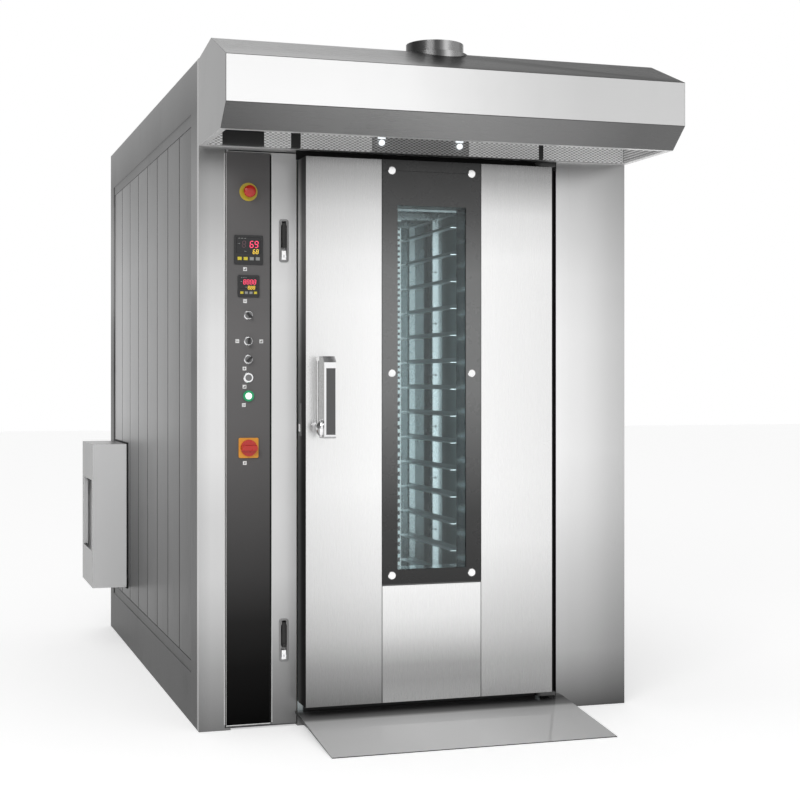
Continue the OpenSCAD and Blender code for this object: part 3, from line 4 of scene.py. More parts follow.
import bpy
from mathutils import Euler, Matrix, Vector


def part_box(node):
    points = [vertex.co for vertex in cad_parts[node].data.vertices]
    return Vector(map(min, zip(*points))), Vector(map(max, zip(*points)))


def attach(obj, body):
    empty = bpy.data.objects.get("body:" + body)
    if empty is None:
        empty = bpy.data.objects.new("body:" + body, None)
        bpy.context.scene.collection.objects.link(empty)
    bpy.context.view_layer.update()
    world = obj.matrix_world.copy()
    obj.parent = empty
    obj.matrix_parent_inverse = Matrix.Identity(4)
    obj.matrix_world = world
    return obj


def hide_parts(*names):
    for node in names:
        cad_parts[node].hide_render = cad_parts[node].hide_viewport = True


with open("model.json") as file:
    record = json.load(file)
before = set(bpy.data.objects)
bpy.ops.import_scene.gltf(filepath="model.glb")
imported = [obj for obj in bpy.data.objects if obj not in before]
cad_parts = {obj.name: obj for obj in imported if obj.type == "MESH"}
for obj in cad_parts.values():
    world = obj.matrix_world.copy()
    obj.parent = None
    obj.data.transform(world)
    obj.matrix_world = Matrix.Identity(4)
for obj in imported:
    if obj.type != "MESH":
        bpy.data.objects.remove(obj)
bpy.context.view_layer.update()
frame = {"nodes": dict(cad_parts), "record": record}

NODES = frame["nodes"]
HALF_DEPTH = 1.150  # the oven's centre lies this far behind its front plane


def dep(behind):
    """Place along Y of a depth behind the oven's front plane."""
    return behind - HALF_DEPTH


# ---- finishes ------------------------------------------------------------

class Value:
    """One socket of a finish, with plain arithmetic."""

    def __init__(self, finish, socket):
        self.finish, self.socket = finish, socket

    def run(self, operation, *others):
        return self.finish.maths(operation, self, *others)

    def __add__(self, other): return self.run("ADD", other)
    def __sub__(self, other): return self.run("SUBTRACT", other)
    def __rsub__(self, other): return self.finish.maths("SUBTRACT", other, self)
    def __mul__(self, other): return self.run("MULTIPLY", other)
    def __truediv__(self, other): return self.run("DIVIDE", other)
    def __gt__(self, other): return self.run("GREATER_THAN", other)


class Finish:
    """A material or the world, built from nodes."""

    def __init__(self, name, owner=None):
        self.owner = owner or bpy.data.materials.new(name)
        self.owner.use_nodes = True
        self.tree = self.owner.node_tree
        self.tree.nodes.clear()

    def node(self, kind, settings=None, **sockets):
        made = self.tree.nodes.new(kind)
        for key, value in (settings or {}).items():
            if key == "stops":
                ramp = made.color_ramp
                while len(ramp.elements) < len(value):
                    ramp.elements.new(0.5)
                for element, (place, colour) in zip(ramp.elements, value):
                    element.position, element.color = place, (*colour, 1.0)
            else:
                setattr(made, key, value)
        for key, value in sockets.items():
            key = key.replace("_", " ")
            socket = made.inputs[int(key[1:])] if key[0] == "n" and key[1:].isdigit() else made.inputs[key]
            if isinstance(value, Value):
                self.tree.links.new(value.socket, socket)
            else:
                socket.default_value = value
        return made

    def out(self, made, name=0):
        return Value(self, made.outputs[name])

    def maths(self, operation, *terms):
        return self.out(self.node("ShaderNodeMath", {"operation": operation},
                                  **{f"n{i}": t for i, t in enumerate(terms)}))

    def place(self):
        """Object coordinates in metres, as x, y and z."""
        spot = self.out(self.node("ShaderNodeTexCoord"), "Object")
        split = self.node("ShaderNodeSeparateXYZ", Vector=spot)
        return [self.out(split, n) for n in "XYZ"]

    def grain(self, stretch, detail=4.0):
        """Noise stretched per axis: higher numbers are finer."""
        spot = self.out(self.node("ShaderNodeTexCoord"), "Object")
        stretched = self.out(self.node("ShaderNodeMapping", Vector=spot, Scale=stretch))
        noise = self.node("ShaderNodeTexNoise", Vector=stretched, Scale=1.0, Detail=detail, Roughness=0.6)
        return self.out(noise, "Fac")

    def blend(self, share, first, second):
        """The first colour at share 0, the second at share 1."""
        made = self.node("ShaderNodeMix", {"data_type": "RGBA"})
        for socket, value in zip((made.inputs[0], made.inputs[6], made.inputs[7]), (share, first, second)):
            if isinstance(value, Value):
                self.tree.links.new(value.socket, socket)
            else:
                socket.default_value = value if isinstance(value, float) else (*value[:3], 1.0)
        return Value(self, made.outputs[2])

    def tinted(self, first, second):
        """Two colours multiplied."""
        made = self.node("ShaderNodeMix", {"data_type": "RGBA", "blend_type": "MULTIPLY"}, n0=1.0)
        self.tree.links.new(first.socket, made.inputs[6])
        self.tree.links.new(second.socket, made.inputs[7])
        return Value(self, made.outputs[2])

    def ramped(self, light, **marks):
        """A colour times shares listed as (place in metres, share) along X, Y or Z: painted shade and
        reflection by place.
        """
        spot = self.place()
        for axis, stops in marks.items():
            low, high = stops[0][0], stops[-1][0]
            shares = [((at - low) / (high - low), (share,) * 3) for at, share in stops]
            along = (spot["XYZ".index(axis)] - low) / (high - low)
            ramp = self.node("ShaderNodeValToRGB", {"stops": shares}, Fac=along)
            light = self.tinted(light, self.out(ramp, "Color"))
        return light

    def bump(self, height, strength, distance):
        return self.out(self.node("ShaderNodeBump", Height=height, Strength=strength, Distance=distance))

    def shade(self, **sockets):
        """Ends a material in the main shader. A plain tone may be given without its alpha."""
        for name in ("Base_Color", "Emission_Color"):
            if name in sockets and not isinstance(sockets[name], Value):
                sockets[name] = (*sockets[name][:3], 1.0)
        shader = self.node("ShaderNodeBsdfPrincipled", **sockets)
        self.node("ShaderNodeOutputMaterial", Surface=self.out(shader))
        return self.owner


def brushed(name, tone, roughness, stretch, streak=0.08, wear=0.03, metal=1.0, edge=1.0, **marks):
    """Brushed sheet: fine streaks in tone and gloss, soft clouding and faint rub marks.

    streak is how far the streaks change the tone, wear how rough the rub marks are. edge is
    the tint of what the sheet mirrors at a low angle. marks list (place in metres, share of
    the tone) along X, Y or Z: painted shade and reflection that make a sheet darker or lighter by place."""
    f = Finish(name)
    streaks = f.grain(stretch, 3.0)
    clouds = f.grain((2.2, 2.2, 1.6), 2.0)
    rubs = f.maths("MAXIMUM", (f.grain((9.0, 9.0, 5.0), 6.0) - 0.55) * 4.0, 0.0)
    level = (streaks - 0.5) * streak + (clouds - 0.5) * 0.12 + 0.5
    light = f.blend(level, [c * 0.92 for c in tone], [min(1.0, c * 1.08) for c in tone])
    light = f.ramped(light, **marks)
    gloss = (streaks - 0.5) * 0.12 + (clouds - 0.5) * 0.05 + rubs * wear + roughness
    return f.shade(Base_Color=light, Metallic=metal, Roughness=gloss, Specular_Tint=(edge, edge, edge, 1.0),
                   Normal=f.bump(streaks, 0.04, 0.0003))


# Stretches of the streaks: the small number is along the brushing.
UPRIGHT = (1500.0, 1500.0, 6.0)
ALONG_X = (6.0, 1500.0, 1500.0)
ALONG_Y = (1500.0, 6.0, 1500.0)
# The shares below paint shade and reflection into the tone of each sheet: darker or lighter by place as the
# sheet is lit and mirrors its surroundings.
# Shares of a sheet's tone by place in metres, from the lowest place up. They are fitted:
# render and photograph were compared along each sheet, and the shares corrected by what
# they differed. In COLUMN_Z, STRIP_Z, PLANK_Z, PLANK_Y and CASING_Z here, and in FASCIA_Z
# below, a scratch script worked out the corrected numbers.
DOOR_LEFT_Z = [(0.08, 0.22), (0.20, 0.36), (0.30, 0.57), (0.45, 0.76), (0.60, 0.87), (0.80, 1.0),
               (1.4, 1.0), (1.55, 0.93), (1.70, 0.73), (1.82, 0.44), (1.87, 0.40)]
DOOR_RIGHT_Z = [(0.08, 0.36), (0.20, 0.44), (0.30, 0.60), (0.45, 0.77), (0.60, 0.93), (0.80, 1.0),
                (1.55, 1.0), (1.70, 0.86), (1.82, 0.43), (1.87, 0.39)]
DOOR_FOOT_Z = [(0.08, 0.40), (0.15, 0.33), (0.20, 0.36), (0.25, 0.50), (0.30, 0.67), (0.36, 0.81),
               (0.46, 0.92)]
POST_Z = [(0.0, 0.22), (0.2, 0.38), (0.35, 0.54), (0.5, 0.66), (0.7, 0.70), (0.9, 0.83), (1.1, 0.86),
          (1.3, 0.83), (1.5, 0.69), (1.7, 0.48), (1.9, 0.37)]
COLUMN_Z = [(0, 0.139), (0.2, 0.464), (0.35, 0.589), (0.5, 0.707), (0.7, 0.89), (0.9, 1), (1.1, 1),
            (1.3, 1), (1.5, 0.93), (1.7, 0.77), (1.85, 0.636), (1.9, 0.527)]
COLUMN_X = [(0.51, 0.97), (0.55, 0.92), (0.60, 0.88), (0.65, 0.80), (0.70, 0.70), (0.76, 0.62)]
STRIP_Z = [(0, 0.208), (0.2, 0.422), (0.35, 0.69), (0.5, 0.908), (0.7, 1), (0.9, 1), (1.3, 1), (1.45, 1),
           (1.7, 0.78), (1.85, 0.818), (1.9, 0.733)]
PLANK_Z = [(0.2, 0.07), (0.4, 0.181), (0.6, 0.355), (0.8, 0.621), (1, 0.941), (1.4, 0.902), (1.6, 0.831),
           (1.8, 0.558), (2, 0.293)]
PLANK_Y = [(dep(0.15), 0.223), (dep(0.35), 0.333), (dep(0.6), 0.442), (dep(0.85), 0.537),
           (dep(1.35), 0.657), (dep(1.6), 0.734), (dep(1.9), 0.929), (dep(2.18), 1)]
CASING_Z = [(0, 0.053), (0.15, 0.054), (0.3, 0.134), (0.6, 0.224), (0.9, 0.22), (1.2, 0.14), (1.4, 0.29),
            (1.5, 0.502), (1.8, 0.491), (2.03, 0.188), (2.19, 0.409)]
HOOD_X = [(-0.76, 1.0), (-0.4, 1.0), (-0.2, 0.97), (0.0, 0.85), (0.2, 0.74), (0.4, 0.67), (0.76, 0.68)]
BEVEL_X = [(-0.76, 0.52), (-0.6, 0.70), (-0.4, 0.91), (-0.2, 1.0), (0.0, 0.85), (0.2, 0.72), (0.4, 0.60),
           (0.6, 0.45), (0.76, 0.45)]

M = {}  # every finish, under a short name of its own
DOOR_TONE = (1.0, 1.0, 0.995)
# The door's sheet in three copies, left, right and foot, whose ramps paint its reflections: darker towards
# the foot and the head, the left copy also towards the left edge.
M["door"] = brushed("door_sheet", DOOR_TONE, 0.27, UPRIGHT, Z=DOOR_LEFT_Z, X=[(-0.43, 0.86), (-0.20, 1.0)])
M["door_right"] = brushed("door_right_sheet", DOOR_TONE, 0.27, UPRIGHT, Z=DOOR_RIGHT_Z,
                          X=[(0.15, 1.0), (0.44, 0.90)])
M["door_foot"] = brushed("door_foot_sheet", DOOR_TONE, 0.27, UPRIGHT, Z=DOOR_FOOT_Z)
M["shell"] = brushed("door_edge_sheet", (0.12, 0.12, 0.12), 0.35, UPRIGHT)
M["reveal"] = brushed("window_reveal_sheet", (0.62, 0.66, 0.67), 0.08, UPRIGHT)
# Left post, right column and panel strip: their ramps paint reflection and shade, darker towards the foot and
# the head, the post and column also towards the oven's outer edges.
M["column"] = brushed("post_sheet", (0.92, 0.92, 0.92), 0.30, UPRIGHT, Z=POST_Z,
                      X=[(-0.76, 0.86), (-0.72, 1.0)])
M["column_right"] = brushed("column_sheet", (1.0, 1.0, 1.0), 0.30, UPRIGHT, Z=COLUMN_Z, X=COLUMN_X)
M["strip"] = brushed("panel_strip_sheet", (1.0, 1.0, 1.0), 0.20, UPRIGHT, metal=0.05, Z=STRIP_Z)
# The hood's sheet in lit and shaded copies by the way its faces look: the front and top with X ramps of
# painted reflection, the top darkening to the right, and the underside and the ends darker as painted shade.
M["hood"] = brushed("hood_sheet", (1.0, 1.0, 1.0), 0.22, ALONG_X, X=HOOD_X)
M["hood_top"] = brushed("hood_top_sheet", (1.0, 1.0, 1.0), 0.28, ALONG_X, edge=0.4,
                        X=[(-0.76, 1.0), (-0.45, 0.97), (-0.20, 0.88), (-0.05, 0.22), (0.76, 0.05)])
M["hood_under"] = brushed("hood_under_sheet", (0.326, 0.326, 0.326), 0.28, ALONG_X, X=BEVEL_X)
M["hood_rim"] = brushed("hood_rim_sheet", (0.95, 0.95, 0.95), 0.25, ALONG_X, metal=0.2)
M["hood_end"] = brushed("hood_end_sheet", (0.20, 0.20, 0.20), 0.30, UPRIGHT)
# Casing frame: a lower tone and its height ramp paint the shade on the oven's sides.
M["casing"] = brushed("casing_sheet", (0.55, 0.55, 0.555), 0.34, UPRIGHT, edge=0.7, Z=CASING_Z)
# Faces of the white burner cover that look left and up: a dark copy that paints their shade.
M["cover_side"] = brushed("cover_side_sheet", (0.245, 0.245, 0.245), 0.32, UPRIGHT)
# Left faces of the chrome handle: a dark brushed copy that paints their shade.
M["grip_side"] = brushed("grip_side", (0.32, 0.32, 0.32), 0.16, UPRIGHT)
# Wall planks: a lower tone and ramps paint the side's shade, darker towards the foot, the head and the front.
M["planks"] = brushed("plank_sheet", (0.50, 0.50, 0.505), 0.33, UPRIGHT, edge=0.85, Z=PLANK_Z, Y=PLANK_Y)
M["roof"] = brushed("roof_sheet", (0.50, 0.50, 0.51), 0.36, ALONG_Y)
# Loading ramp: the Y ramp paints the door's shadow and its dark reflection, darkest next to the door; the X
# ramp paints reflection across it.
M["ramp"] = brushed("ramp_sheet", (1.0, 1.0, 1.0), 0.05, ALONG_X, wear=0.02, metal=0.1,
                    X=[(-0.43, 0.85), (-0.10, 1.0), (0.10, 0.98), (0.30, 0.84), (0.43, 0.78)],
                    Y=[(dep(-0.56), 0.95), (dep(-0.20), 1.0), (dep(-0.14), 0.90), (dep(-0.115), 0.35),
                       (dep(-0.05), 0.12)])
M["collar"] = brushed("collar_sheet", (0.50, 0.50, 0.50), 0.28, (40.0, 40.0, 40.0))
# Hood spigot: the X ramp paints its highlight and shade round the collar.
M["spigot"] = brushed("hood_spigot_sheet", (0.81, 0.81, 0.81), 0.28, (40.0, 40.0, 40.0), edge=0.8,
                      X=[(-0.09, 0.08), (-0.06, 0.18), (-0.04, 0.13), (-0.028, 0.08), (-0.017, 0.12),
                         (-0.007, 0.28), (0.003, 0.68), (0.014, 0.96), (0.024, 1.0), (0.034, 0.84),
                         (0.055, 0.84), (0.076, 0.37)])
M["cover"] = brushed("cover_sheet", (1.0, 1.0, 1.0), 0.30, UPRIGHT, metal=0.0)
M["liner"] = brushed("liner_sheet", (0.36, 0.40, 0.405), 0.30, UPRIGHT, wear=0.1)
M["duct"] = brushed("duct_sheet", (0.19, 0.21, 0.213), 0.26, UPRIGHT, wear=0.1)
M["rack"] = brushed("rack_tube", (0.34, 0.365, 0.37), 0.28, (60.0, 60.0, 60.0))
M["runner"] = brushed("runner_sheet", (0.66, 0.70, 0.71), 0.34, (60.0, 60.0, 60.0))
M["machined"] = brushed("machined_steel", (0.46, 0.46, 0.47), 0.32, (90.0, 90.0, 90.0), wear=0.12)
M["dark_steel"] = brushed("dark_steel", (0.10, 0.10, 0.10), 0.38, (90.0, 90.0, 90.0))
M["latch"] = brushed("latch_steel", (0.26, 0.26, 0.26), 0.30, UPRIGHT)
M["lever"] = brushed("lever_steel", (0.05, 0.05, 0.05), 0.35, UPRIGHT)
M["heat"] = brushed("scaled_steel", (0.20, 0.15, 0.12), 0.55, (8.0, 8.0, 8.0), streak=0.6, wear=0.2)


def chrome(name, tone, roughness):
    """Polished plating with faint hazing."""
    f = Finish(name)
    haze = f.grain((30.0, 30.0, 30.0), 4.0)
    return f.shade(Base_Color=tone, Metallic=1.0, Roughness=(haze - 0.5) * 0.08 + roughness)


M["chrome"] = chrome("bright_chrome", (0.88, 0.88, 0.89), 0.10)
M["cap"] = chrome("cap_chrome", (0.97, 0.97, 0.97), 0.22)


def moulded(name, tone, roughness, speckle=900.0, depth=0.12, clouding=0.12, marks=None, **more):
    """Moulded or painted piece: fine surface texture, slight clouding of tone and gloss.

    speckle is how fine the texture is, depth how strong, and marks are as for a brushed sheet."""
    f = Finish(name)
    fine = f.grain((speckle, speckle, speckle), 2.0)
    clouds = f.grain((12.0, 12.0, 12.0), 4.0)
    tint = f.blend((clouds - 0.5) * clouding * 2.0 + 0.5,
                   [c * (1 - clouding) for c in tone], [min(1.0, c * (1 + clouding)) for c in tone])
    tint = f.ramped(tint, **(marks or {}))
    return f.shade(Base_Color=tint, Roughness=(clouds - 0.5) * 0.15 + roughness,
                   Normal=f.bump(fine, depth, 0.0003), **more)


# Black fascia and window border: their ramps paint reflection and shade by height.
FASCIA_Z = [(0, 0), (0.2, 0.045), (0.35, 0.13), (0.5, 0.33), (0.7, 0.54), (0.85, 0.698), (1, 0.83),
            (1.3, 0.964), (1.5, 0.846), (1.65, 0.82), (1.82, 0.864), (1.9, 0.72)]
BORDER_Z = [(0.47, 0.03), (0.7, 0.16), (0.9, 0.53), (1.1, 0.93), (1.3, 1.0), (1.5, 0.92), (1.7, 0.31),
            (1.87, 0.14)]
# The door's left side: a mid-grey sheet which these ramps darken, painted shade beside the door.
EDGE_Z = [(0.08, 0.12), (0.8, 0.12), (1.2, 0.30), (1.45, 0.75), (1.6, 1.0), (1.75, 0.6), (1.87, 0.25)]
EDGE_Y = [(dep(-0.11), 0.25), (dep(-0.06), 0.28), (dep(-0.02), 1.0), (dep(0.0), 1.0)]
M["fascia"] = moulded("fascia_black", (0.20, 0.195, 0.195), 0.42, 500.0, 0.05, 0.06, {"Z": FASCIA_Z},
                      Specular_IOR_Level=0.04)
M["edge"] = moulded("door_edge_painted_shade", (0.80, 0.80, 0.80), 0.50, 900.0, 0.05, 0.06,
                    {"Z": EDGE_Z, "Y": EDGE_Y}, Specular_IOR_Level=0.0)
M["jamb"] = moulded("jamb_black", (0.006, 0.006, 0.006), 0.60, Specular_IOR_Level=0.15)
M["gasket"] = moulded("door_rubber", (0.020, 0.020, 0.021), 0.65)
M["border"] = moulded("border_glass", (0.225, 0.228, 0.228), 0.28, 400.0, 0.02, 0.06, {"Z": BORDER_Z})
M["inset"] = moulded("handle_inset_grey", (0.105, 0.105, 0.107), 0.45)
M["device"] = moulded("device_black", (0.024, 0.024, 0.025), 0.42)
M["screen"] = moulded("device_screen", (0.010, 0.010, 0.012), 0.12, 300.0, 0.02)
M["key"] = moulded("key_grey", (0.36, 0.37, 0.36), 0.5)
M["key_amber"] = moulded("key_amber", (0.80, 0.66, 0.05), 0.5)
M["knob"] = moulded("knob_black", (0.020, 0.020, 0.021), 0.25)
M["green"] = moulded("green_ring", (0.010, 0.42, 0.16), 0.30)
M["yellow"] = moulded("yellow_disc", (0.66, 0.50, 0.03), 0.35)
M["orange"] = moulded("orange_plate", (0.85, 0.36, 0.03), 0.35)
M["red"] = moulded("red_button", (0.62, 0.022, 0.012), 0.28, Coat_Weight=0.3)
M["frame"] = moulded("frame_paint", (0.10, 0.10, 0.105), 0.5, clouding=0.3)
M["burner"] = moulded("burner_paint", (0.060, 0.062, 0.066), 0.40, clouding=0.2)
M["motor"] = moulded("motor_paint", (0.06, 0.15, 0.26), 0.38, clouding=0.2)
M["wheel"] = moulded("wheel_resin", (0.045, 0.035, 0.028), 0.5, clouding=0.3)
M["print"] = moulded("panel_print", (0.97, 0.97, 0.95), 0.5)
M["dial"] = moulded("selector_dial", (0.22, 0.22, 0.22), 0.35)
M["seal_black"] = moulded("seal_black", (0.010, 0.010, 0.010), 0.65, Specular_IOR_Level=0.2)


def wool():
    """Mineral wool: fibres in layers, with soft lumps."""
    f = Finish("mineral_wool")
    fibres = f.grain((90.0, 90.0, 400.0), 6.0)
    lumps = f.grain((14.0, 14.0, 14.0), 4.0)
    tint = f.blend(fibres, (0.36, 0.31, 0.17), (0.66, 0.60, 0.40))
    return f.shade(Base_Color=tint, Roughness=0.95, Normal=f.bump(fibres + lumps, 0.6, 0.004))


def lit(name, tone, strength):
    """A lamp, lens or digit that shines."""
    f = Finish(name)
    glow = f.blend(f.grain((300.0, 300.0, 300.0)), [c * 0.9 for c in tone], tone)
    return f.shade(Base_Color=glow, Roughness=0.3, Emission_Color=glow, Emission_Strength=strength)


def glass():
    """Clear pane with a faint green tint and light smears."""
    f = Finish("clear_glass")
    smears = f.grain((5.0, 5.0, 3.0), 5.0)
    return f.shade(Base_Color=(0.86, 0.93, 0.94), Roughness=(smears - 0.5) * 0.03 + 0.03,
                   Transmission_Weight=1.0, IOR=1.33)


def filter_mesh(name, dark, bright):
    """Expanded metal: bright diamonds round dark holes, which glow a little as painted light in the hood's
    shade.
    """
    f = Finish(name)
    x, _, z = f.place()
    mesh_width = 0.036
    turns = 2 * math.pi / mesh_width
    cross = f.maths("SINE", (x + z * 2.0) * turns) * f.maths("SINE", (x - z * 2.0) * turns)
    strand = f.maths("MAXIMUM", 1.0 - f.maths("ABSOLUTE", cross) * 1.8, 0.0)
    tint = f.blend(strand, dark, bright)
    return f.shade(Base_Color=tint, Metallic=0.1, Roughness=0.35, Normal=f.bump(strand, 0.8, 0.003),
                   Emission_Color=tint, Emission_Strength=0.3)


def self_lit(material, tint, strength):
    """A touch of light of its own, for what lamps inside the oven and hood would light."""
    shader = material.node_tree.nodes["Principled BSDF"]
    shader.inputs["Emission Color"].default_value = (*tint, 1.0)
    shader.inputs["Emission Strength"].default_value = strength
    return material


M["wool"] = wool()
M["glass"] = glass()
M["filter"] = filter_mesh("filter_mesh", (0.40,) * 3, (1.0,) * 3)
M["filter_dim"] = filter_mesh("filter_mesh_dim", (0.12,) * 3, (0.46,) * 3)
M["lamp"] = lit("lamp_glass", (0.92, 0.97, 1.0), 1.0)
M["lens"] = lit("green_button_lens", (0.86, 0.97, 0.92), 0.95)
M["red_digit"] = lit("red_digit", (1.0, 0.07, 0.16), 1.1)
M["dim_digit"] = lit("dim_digit", (0.10, 0.05, 0.06), 0.4)
M["amber_digit"] = lit("amber_digit", (1.0, 0.66, 0.06), 1.0)
# The duct's slotted strip: a white sheet with a glow, painting the highlight and the lamp's light on it.
M["slot_strip"] = self_lit(brushed("duct_strip_sheet", (1.0, 1.0, 1.0), 0.20, UPRIGHT, metal=0.05),
                           (0.75, 0.80, 0.80), 0.35)


# ---- shaping -------------------------------------------------------------

def only(piece):
    """Makes a piece the one selected and active object, in object mode."""
    if bpy.context.object and bpy.context.object.mode != "OBJECT":
        bpy.ops.object.mode_set(mode="OBJECT")
    bpy.ops.object.select_all(action="DESELECT")
    piece.select_set(True)
    bpy.context.view_layer.objects.active = piece


def block(low, high):
    """A cube primitive stretched from one corner to the other."""
    bpy.ops.object.select_all(action="DESELECT")
    middle = (Vector(low) + Vector(high)) / 2
    bpy.ops.mesh.primitive_cube_add(size=1, location=middle)
    piece = bpy.context.object
    piece.scale = Vector(high) - Vector(low)
    bpy.ops.object.transform_apply(location=True, rotation=True, scale=True)
    return piece


def drum(centre, radius, depth, sides=48):
    """A cylinder primitive that lies along Y."""
    bpy.ops.object.select_all(action="DESELECT")
    bpy.ops.mesh.primitive_cylinder_add(vertices=sides, radius=radius, depth=depth, location=centre,
                                        rotation=(math.pi / 2, 0, 0))
    bpy.ops.object.transform_apply(location=True, rotation=True, scale=True)
    return bpy.context.object


def facing(piece, direction):
    """Selects in edit mode only the faces that look along a direction."""
    only(piece)
    direction = Vector(direction)
    for part in (piece.data.vertices, piece.data.edges, piece.data.polygons):
        for item in part:
            item.select = False
    for face in piece.data.polygons:
        face.select = face.normal.dot(direction) > 0.95
    bpy.ops.object.mode_set(mode="EDIT")
    bpy.ops.mesh.select_mode(type="FACE")


FRONT = (0, -1, 0)


def sunk(piece, direction, rim, depth):
    """Insets the faces that look along a direction and pushes the middle in, or out when depth is below 0."""
    facing(piece, direction)
    bpy.ops.mesh.inset(thickness=rim, depth=0)
    bpy.ops.mesh.inset(thickness=abs(depth) * 0.3, depth=-depth)
    bpy.ops.object.mode_set(mode="OBJECT")
    return piece


def soften(piece, width, segments=2):
    """Rounds the edges sharper than 35 degrees with a bevel that is applied at once."""
    only(piece)
    bevel = piece.modifiers.new("edge", "BEVEL")
    bevel.width, bevel.segments = width, segments
    bevel.limit_method, bevel.angle_limit = "ANGLE", math.radians(35)
    bpy.ops.object.modifier_apply(modifier=bevel.name)
    return piece


def join(pieces):
    """Makes one object of several."""
    bpy.ops.object.select_all(action="DESELECT")
    for piece in pieces:
        piece.select_set(True)
    bpy.context.view_layer.objects.active = pieces[0]
    bpy.ops.object.join()
    return bpy.context.object


def done(piece, name, finish, body):
    """Names a piece, gives it its finish and body, and smooths it by angle."""
    only(piece)
    piece.name = piece.data.name = name
    piece.data.materials.clear()
    piece.data.materials.append(M[finish])
    bpy.ops.object.shade_smooth_by_angle(angle=math.radians(40))
    flats = piece.modifiers.new("flats", "WEIGHTED_NORMAL")
    flats.keep_sharp = True
    bpy.ops.object.modifier_apply(modifier=flats.name)
    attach(piece, body)
    return piece


BODY_OF = {node: body for body, nodes in frame["record"]["behaviour"]["bodies"].items() for node in nodes}


def cut_up(piece):
    """Cuts the front frame's flats into triangles, so that the right column can have its own finish."""
    only(piece)
    bpy.ops.object.mode_set(mode="EDIT")
    bpy.ops.mesh.select_all(action="SELECT")
    bpy.ops.mesh.quads_convert_to_tris(quad_method="BEAUTY", ngon_method="BEAUTY")
    bpy.ops.object.mode_set(mode="OBJECT")


def dressed(node, finish, width):
    """A merged copy of a CAD node, which stands for it, with its edges rounded unless width is 0."""
    source = NODES[node]
    piece = source.copy()
    piece.data = source.data.copy()
    for key in [k for k in piece.keys() if k.startswith("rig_")]:
        del piece[key]
    piece.parent = None
    bpy.context.scene.collection.objects.link(piece)
    only(piece)
    bpy.ops.object.mode_set(mode="EDIT")
    bpy.ops.mesh.select_all(action="SELECT")
    bpy.ops.mesh.remove_doubles(threshold=0.00001)
    bpy.ops.mesh.dissolve_limited(angle_limit=math.radians(0.5))
    bpy.ops.object.mode_set(mode="OBJECT")
    if width:
        soften(piece, width)
    if node == "front_frame":
        cut_up(piece)
    done(piece, node + "_dressed", finish, BODY_OF[node])
    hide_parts(node)
    return piece


def finish_node(node, finish):
    """Gives a CAD node its detailed finish as it stands."""
    mesh = NODES[node].data
    if not mesh.materials:
        mesh.materials.append(M[finish])
    for i in range(len(mesh.materials)):
        mesh.materials[i] = M[finish]


# ---- the carried-over nodes ---------------------------------------------

AS_THEY_ARE = {
    "base_frame": "frame", "chamber_liner": "liner", "air_duct_wall": "duct", "insulation_slabs": "wool",
    "heat_exchanger": "heat", "steam_cascade": "liner", "fan_motor": "motor", "rack_bearings": "frame",
    "control_cabinet": "frame", "window_panes": "glass", "door_gasket": "gasket",
    "operator_bezels": "chrome", "ring_button": "dial", "green_button": "lens",
    "estop_button": "red", "turntable": "liner", "drive_yoke": "rack", "drive_gear": "machined",
    "drive_pinion": "machined", "rack_runners": "runner", "castor_fork_left": "machined",
    "castor_fork_right": "machined", "front_wheel_left": "wheel", "front_wheel_right": "wheel",
    "rear_wheel_left": "wheel", "rear_wheel_right": "wheel", "fan_impeller": "machined",
    "controllers": "device", "hood_soffit": "hood_under",
}
for node, finish in AS_THEY_ARE.items():
    finish_node(node, finish)

ROUNDED = {
    "casing_frame": ("casing", 0.0015), "wall_planks": ("planks", 0.0006), "roof_panel": ("roof", 0.001),
    "front_frame": ("column", 0.002), "hinge_jamb": ("jamb", 0.001), "gas_burner": ("burner", 0.003),
    "burner_cover": ("cover", 0.001), "flue_collar": ("collar", 0.0006), "hood_shell": ("hood", 0.0018),
    "hood_collar": ("spigot", 0.0006), "gearmotor": ("motor", 0.003),
    "door_hinge_brackets": ("dark_steel", 0.0015), "loading_ramp": ("ramp", 0.0),
    "chamber_lamp": ("lamp", 0.001), "door_face_panels": ("door", 0.0016),
    "window_border": ("border", 0.0008), "door_hardware": ("cap", 0.0006), "door_handle": ("chrome", 0.0018),
    "handle_inset": ("inset", 0.0006), "control_door": ("strip", 0.0007),
    "control_fascia": ("fascia", 0.0006), "latch_dishes": ("latch", 0.0006),
    "lower_latch_lever": ("lever", 0.0008), "upper_latch_lever": ("lever", 0.0008),
    "switch_plates": ("yellow", 0.0004),
    "isolator_knob": ("red", 0.0012), "door_shell": ("shell", 0.001), "selector_upper": ("knob", 0.0005),
    "selector_middle": ("knob", 0.0005), "selector_lower": ("knob", 0.0005), "rack_frame": ("rack", 0.0015),
}
DRESSED = {node: dressed(node, finish, width) for node, (finish, width) in ROUNDED.items()}


def refinished(node, finish, wanted):
    """Gives another finish to the faces of a dressed node for which wanted(centre, normal) holds."""
    piece = DRESSED[node]
    piece.data.materials.append(M[finish])
    for face in piece.data.polygons:
        if wanted(face.center, face.normal):
            face.material_index = len(piece.data.materials) - 1


def in_fold(centre, normal):
    """The narrow faces along the two folds of the hood's front."""
    hood_front, fold_heights = -1.597, (2.116, 1.973)
    away = min(abs(centre.z - height) for height in fold_heights)
    return abs(normal.x) < 0.5 and centre.y < hood_front and away < 0.004


